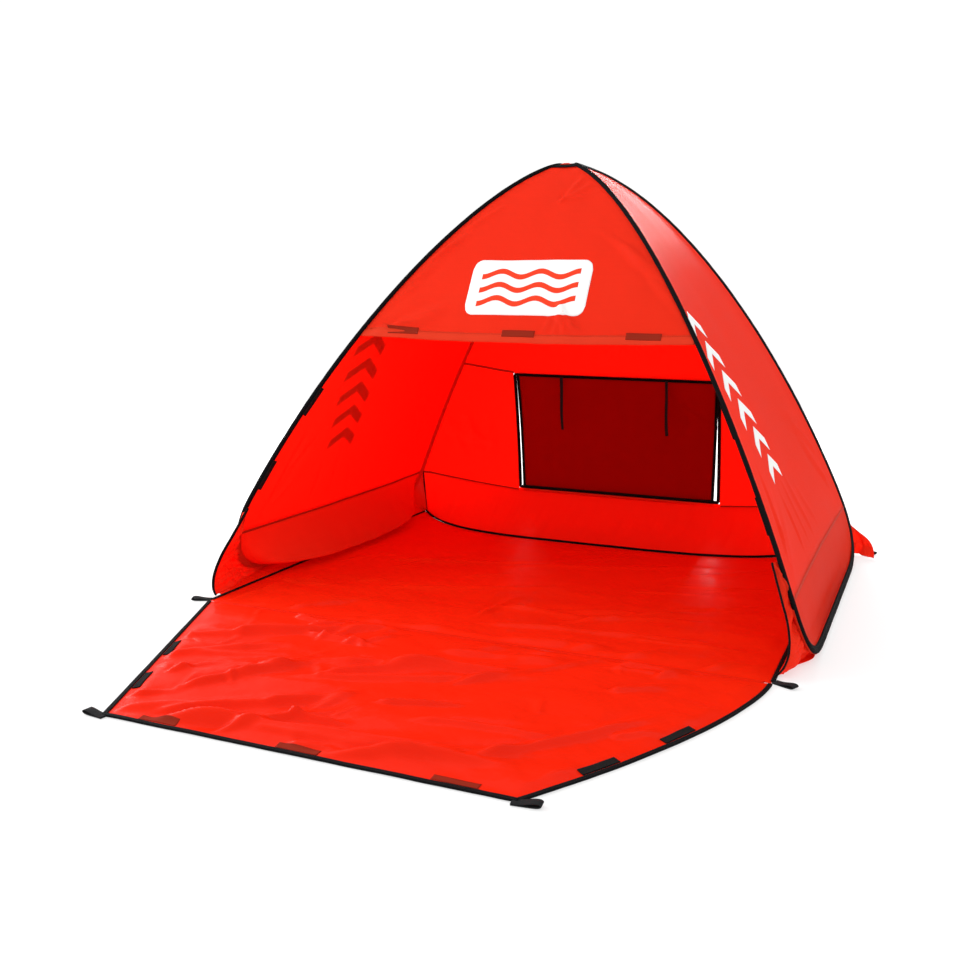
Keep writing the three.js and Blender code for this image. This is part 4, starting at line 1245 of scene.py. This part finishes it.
# ---- Gussets and skirts ----
def cubic(p0, p1, p2, p3, t):
    t = t[..., None]
    return ((1 - t) ** 3 * p0 + 3 * t * (1 - t) ** 2 * p1 + 3 * t ** 2 * (1 - t) * p2 + t ** 3 * p3)


def shifted(x, y, z):
    return np.array([x, y + SHIFT, z], float)


GUSSET_TOP, GUSSET_FOOT_Z = 0.255, 0.016
GUSSET_BEND = {-1: (SHIFT - 0.462, 0.018, SHIFT - 0.240),  # bend's y and z, and the y of the foot, along the hoop
               1: (front_y(0.060) + 0.008, 0.060, SHIFT - 0.300)}
FRONT_GUSSET = [shifted(0.772, -0.470, GUSSET_TOP), shifted(0.800, -0.505, 0.170), shifted(0.872, -0.560, 0.060),
                shifted(0.812, -0.588, 0.011)]


def gusset_surface(s, v, w):
    """From the free edge (w 0) to the hoop (w 1), v from the top down."""
    free = cubic(*FRONT_GUSSET, v)
    bend_y, bend_z, foot_y = GUSSET_BEND[s]
    y = quadratic(front_y(GUSSET_TOP) + 0.004, bend_y, foot_y, v)
    z = quadratic(GUSSET_TOP, bend_z, GUSSET_FOOT_Z, v)
    sewn = points(side_x(z) - 0.008, y, z)
    base = free + (sewn - free) * w[..., None]
    seed = 71 if s > 0 else 74
    middle = np.sin(math.pi * w) ** 0.8
    folds = 0.026 * noise(v * 5.5 + w * 2.0, w * 1.4 - v, seed) + 0.017 * noise(v * 14 + w * 3, w * 3.5, seed + 1)
    folds = (folds + 0.010 * crumple(v, w, 0.22, seed + 2)) * middle * smooth(0, 0.12, v)
    normal = unit(np.cross(np.gradient(base, axis=0), np.gradient(base, axis=1)))
    out = base + normal * folds[..., None]
    out[..., 2] = np.maximum(out[..., 2] * (1 - 0.7 * smooth(0.85, 1.0, v) * middle), 0.003)
    out[..., 0] *= s
    return out


def front_gussets():
    for name, s in SIDES:
        v, w = np.meshgrid(np.linspace(0, 1, 81), np.linspace(0, 1, 61), indexing="ij")
        grid = gusset_surface(s, v, w)
        piece = sheet_mesh(f"front_gusset_{name}_cloth", grid if s > 0 else grid[:, ::-1], side_cloth)
        place(piece, "root", f"front_gusset_{name}")
        declare(grid[::4, ::4])
        t = np.linspace(0, 1, 60)
        path = cubic(*FRONT_GUSSET, t)
        path[:, 0] += 0.0012 * noise(t * 9, 0.5, 77)
        path[:, 0] *= s
        tape(f"front_gusset_binding_{name}_tape", path, (1, 0.2, 0), 0.0110, 0.0044, "root",
             stitch_faces=(1, -1), seed=21 + s)


def rear_gussets():
    for name, s in SIDES:
        v, w = np.meshgrid(np.linspace(0, 1, 49), np.linspace(0, 1, 61), indexing="ij")
        inner = lower_wall_surface(np.ones_like(v), 0.02 + 0.97 * v)
        outer = points((1 - v) ** 2 * 0.850 + (1 - (1 - v) ** 2) * 0.942,
                       SHIFT + quadratic(0.819, 0.815, 0.742, v), quadratic(0.085, 0.062, 0.004, v))
        grid = inner + (outer - inner) * w[..., None]
        seed = 81 if s > 0 else 84
        puff = 0.020 * v * np.sin(math.pi * w)
        folds = (0.020 * noise(w * 5, v * 2.5, seed) + 0.013 * noise(w * 12, v * 6, seed + 1)) * np.sin(math.pi * w)
        grid[..., 1] += puff + folds * smooth(0, 0.3, v)
        grid[..., 0] *= s
        piece = sheet_mesh(f"rear_gusset_{name}_cloth", grid if s > 0 else grid[:, ::-1], side_cloth)
        place(piece, "root", f"rear_gusset_{name}")
        declare(grid[::4, ::4])
        t = np.linspace(0.02, 1.0, 30)
        path = lower_wall_surface(np.full_like(t, s * 1.0), t)
        tape(f"rear_gusset_binding_{name}_tape", path, (0, 1, 0.2), 0.0125, 0.0046, "root",
             stitch_faces=(1, -1), seed=25 + s)


def side_skirts():
    """Loose cloth from the floor's edge out to the hoop, and up the hoop's rear bend to the back panel."""
    for name, s in SIDES:
        line, inward, _ = HOOPS[s]
        bend = (line[:, 1] > REAR_FOOT_Y) & (line[:, 2] < REAR_FOOT_Z)
        y = SHIFT + np.linspace(-0.560, 0.490, 150)
        outer_x = 0.878 - 0.052 * smooth(-0.40, -0.54, y - SHIFT)
        hem = points(s * outer_x, y, 0.0085)
        outer = np.concatenate([hem, (line + inward * 0.002)[bend][::-1]])
        corner = float(floor_rear_y(FLOOR_HALF)) + 0.004
        climb = lower_wall_surface(np.full(30, s * 0.999), np.linspace(0.99, 0.02, 30))
        foot = points(s * 0.8095, np.linspace(y[0], corner, 150), 0.0032)
        inner = np.concatenate([foot, climb])
        outer, inner = even(outer, 240), even(inner, 240)
        w = np.linspace(0, 1, 19)[None, :, None]
        grid = inner[:, None] + (outer - inner)[:, None] * w
        run, across = np.meshgrid(np.linspace(0, 1.5, 240), np.linspace(0, 1, 19), indexing="ij")
        seed = 86 if s > 0 else 88
        folds = np.abs(noise(run / 0.035, across * 1.2, seed)) + np.abs(noise(run / 0.09, across, seed + 1))
        grid[..., 2] += 0.004 * folds * np.sin(math.pi * across)
        piece = sheet_mesh(f"side_skirt_{name}_cloth", grid if s > 0 else grid[:, ::-1], ground_cloth)
        place(piece, "root", f"side_skirt_{name}")
        declare(grid[::4, ::3])


# ---- Camera, light and floor ----
EYE = (1.1383, -2.8024, 0.9150)
TURN, TILT, ROLL = 0.4114, 0.1781, 0.0064  # to the left, downwards and about the view
LENS, SENSOR = 40.29, 36.0  # mm
LIGHTS = (  # name, place, aim, width and height, watts
    ("key", (-3.4, -2.2, 2.2), (0, -0.2, 0.3), (1.2, 0.9), 46),
    ("back", (-1.1, 4.6, 2.2), (0, 0.0, 0.2), (2.6, 1.0), 330),
    ("left", (-4.2, 0.6, 2.2), (-0.6, 0.2, 0.5), (2.4, 2.4), 120),
)
SKY_STRENGTH = 1.02
PAPER_GREY, PAPER_GLOW = 0.45, 0.56
PAPER_HALF, PAPER_Z, PAPER_LINES = 9, -0.0012, 7


def camera():
    data = bpy.data.cameras.new("camera")
    data.sensor_width = SENSOR
    data.lens = LENS
    eye = bpy.data.objects.new("camera", data)
    eye.matrix_world = (Matrix.Translation(EYE) @ Matrix.Rotation(TURN, 4, "Z")
                        @ Matrix.Rotation(math.pi / 2 - TILT, 4, "X") @ Matrix.Rotation(ROLL, 4, "Z"))
    bpy.context.scene.collection.objects.link(eye)
    bpy.context.scene.camera = eye


def softbox(name, place_at, aim, size, watts):
    data = bpy.data.lights.new(name, "AREA")
    data.shape = "RECTANGLE"
    data.size, data.size_y = size
    data.energy = watts
    lamp = bpy.data.objects.new(name, data)
    lamp.location = place_at
    lamp.rotation_euler = (Vector(aim) - Vector(place_at)).to_track_quat("-Z", "Y").to_euler()
    bpy.context.scene.collection.objects.link(lamp)


def studio():
    scene, world = bpy.context.scene, bpy.data.worlds.new("studio")
    world.use_nodes = True
    sky = world.node_tree.nodes["Background"]
    sky.inputs[0].default_value = (1, 1, 1, 1)
    sky.inputs[1].default_value = SKY_STRENGTH
    scene.world = world
    scene.view_settings.view_transform = "Standard"
    for values in LIGHTS:
        softbox(*values)
    material, _, surface, _ = base_material("paper")
    sockets(surface, Roughness=1.0, Specular_IOR_Level=0.0, Base_Color=(PAPER_GREY, PAPER_GREY, PAPER_GREY, 1),
            Emission_Color=(1, 1, 1, 1), Emission_Strength=PAPER_GLOW)
    n = PAPER_LINES
    x, y = np.meshgrid(np.linspace(-PAPER_HALF, PAPER_HALF, n), np.linspace(-PAPER_HALF, PAPER_HALF, n))
    faces = [(i * n + j, i * n + j + 1, i * n + j + n + 1, i * n + j + n) for i in range(n - 1) for j in range(n - 1)]
    ground = new_object("paper_floor", points(x, y, PAPER_Z).reshape(-1, 3), faces, np.zeros((n * n, 2)), material)


# ---- Assembly ----
camera()
window_ties()
studio()
for side_name, sign in SIDES:
    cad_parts[f"hoop_wire_{side_name}"].material_slots[0].material = wire_steel
    hoop_sleeve(side_name, sign)
    hoop_facing(side_name, sign)
    side_panel(side_name, sign, "upper", heights(SEAM_Z + SEAM_GAP, RIDGE_Z - PANEL_TOP_IN, 110))
    side_panel(side_name, sign, "lower", np.linspace(HOOP_GROUND_Z + PANEL_FOOT_UP, SEAM_Z - SEAM_GAP, 24))
    side_seam(side_name, sign)
    for tab_name, tab_z in CLOSURE_TAB_Z.items():
        closure_tab(side_name, sign, tab_name, tab_z)
    chevron_print(side_name, sign)
visor()
ridge_binding()
visor_patches()
visor_badge()
upper_wall()
lower_wall()
wall_seams()
window_binding()
window_flap()
floor()
door()
door_patches()
peg_loops()
front_gussets()
rear_gussets()
side_skirts()
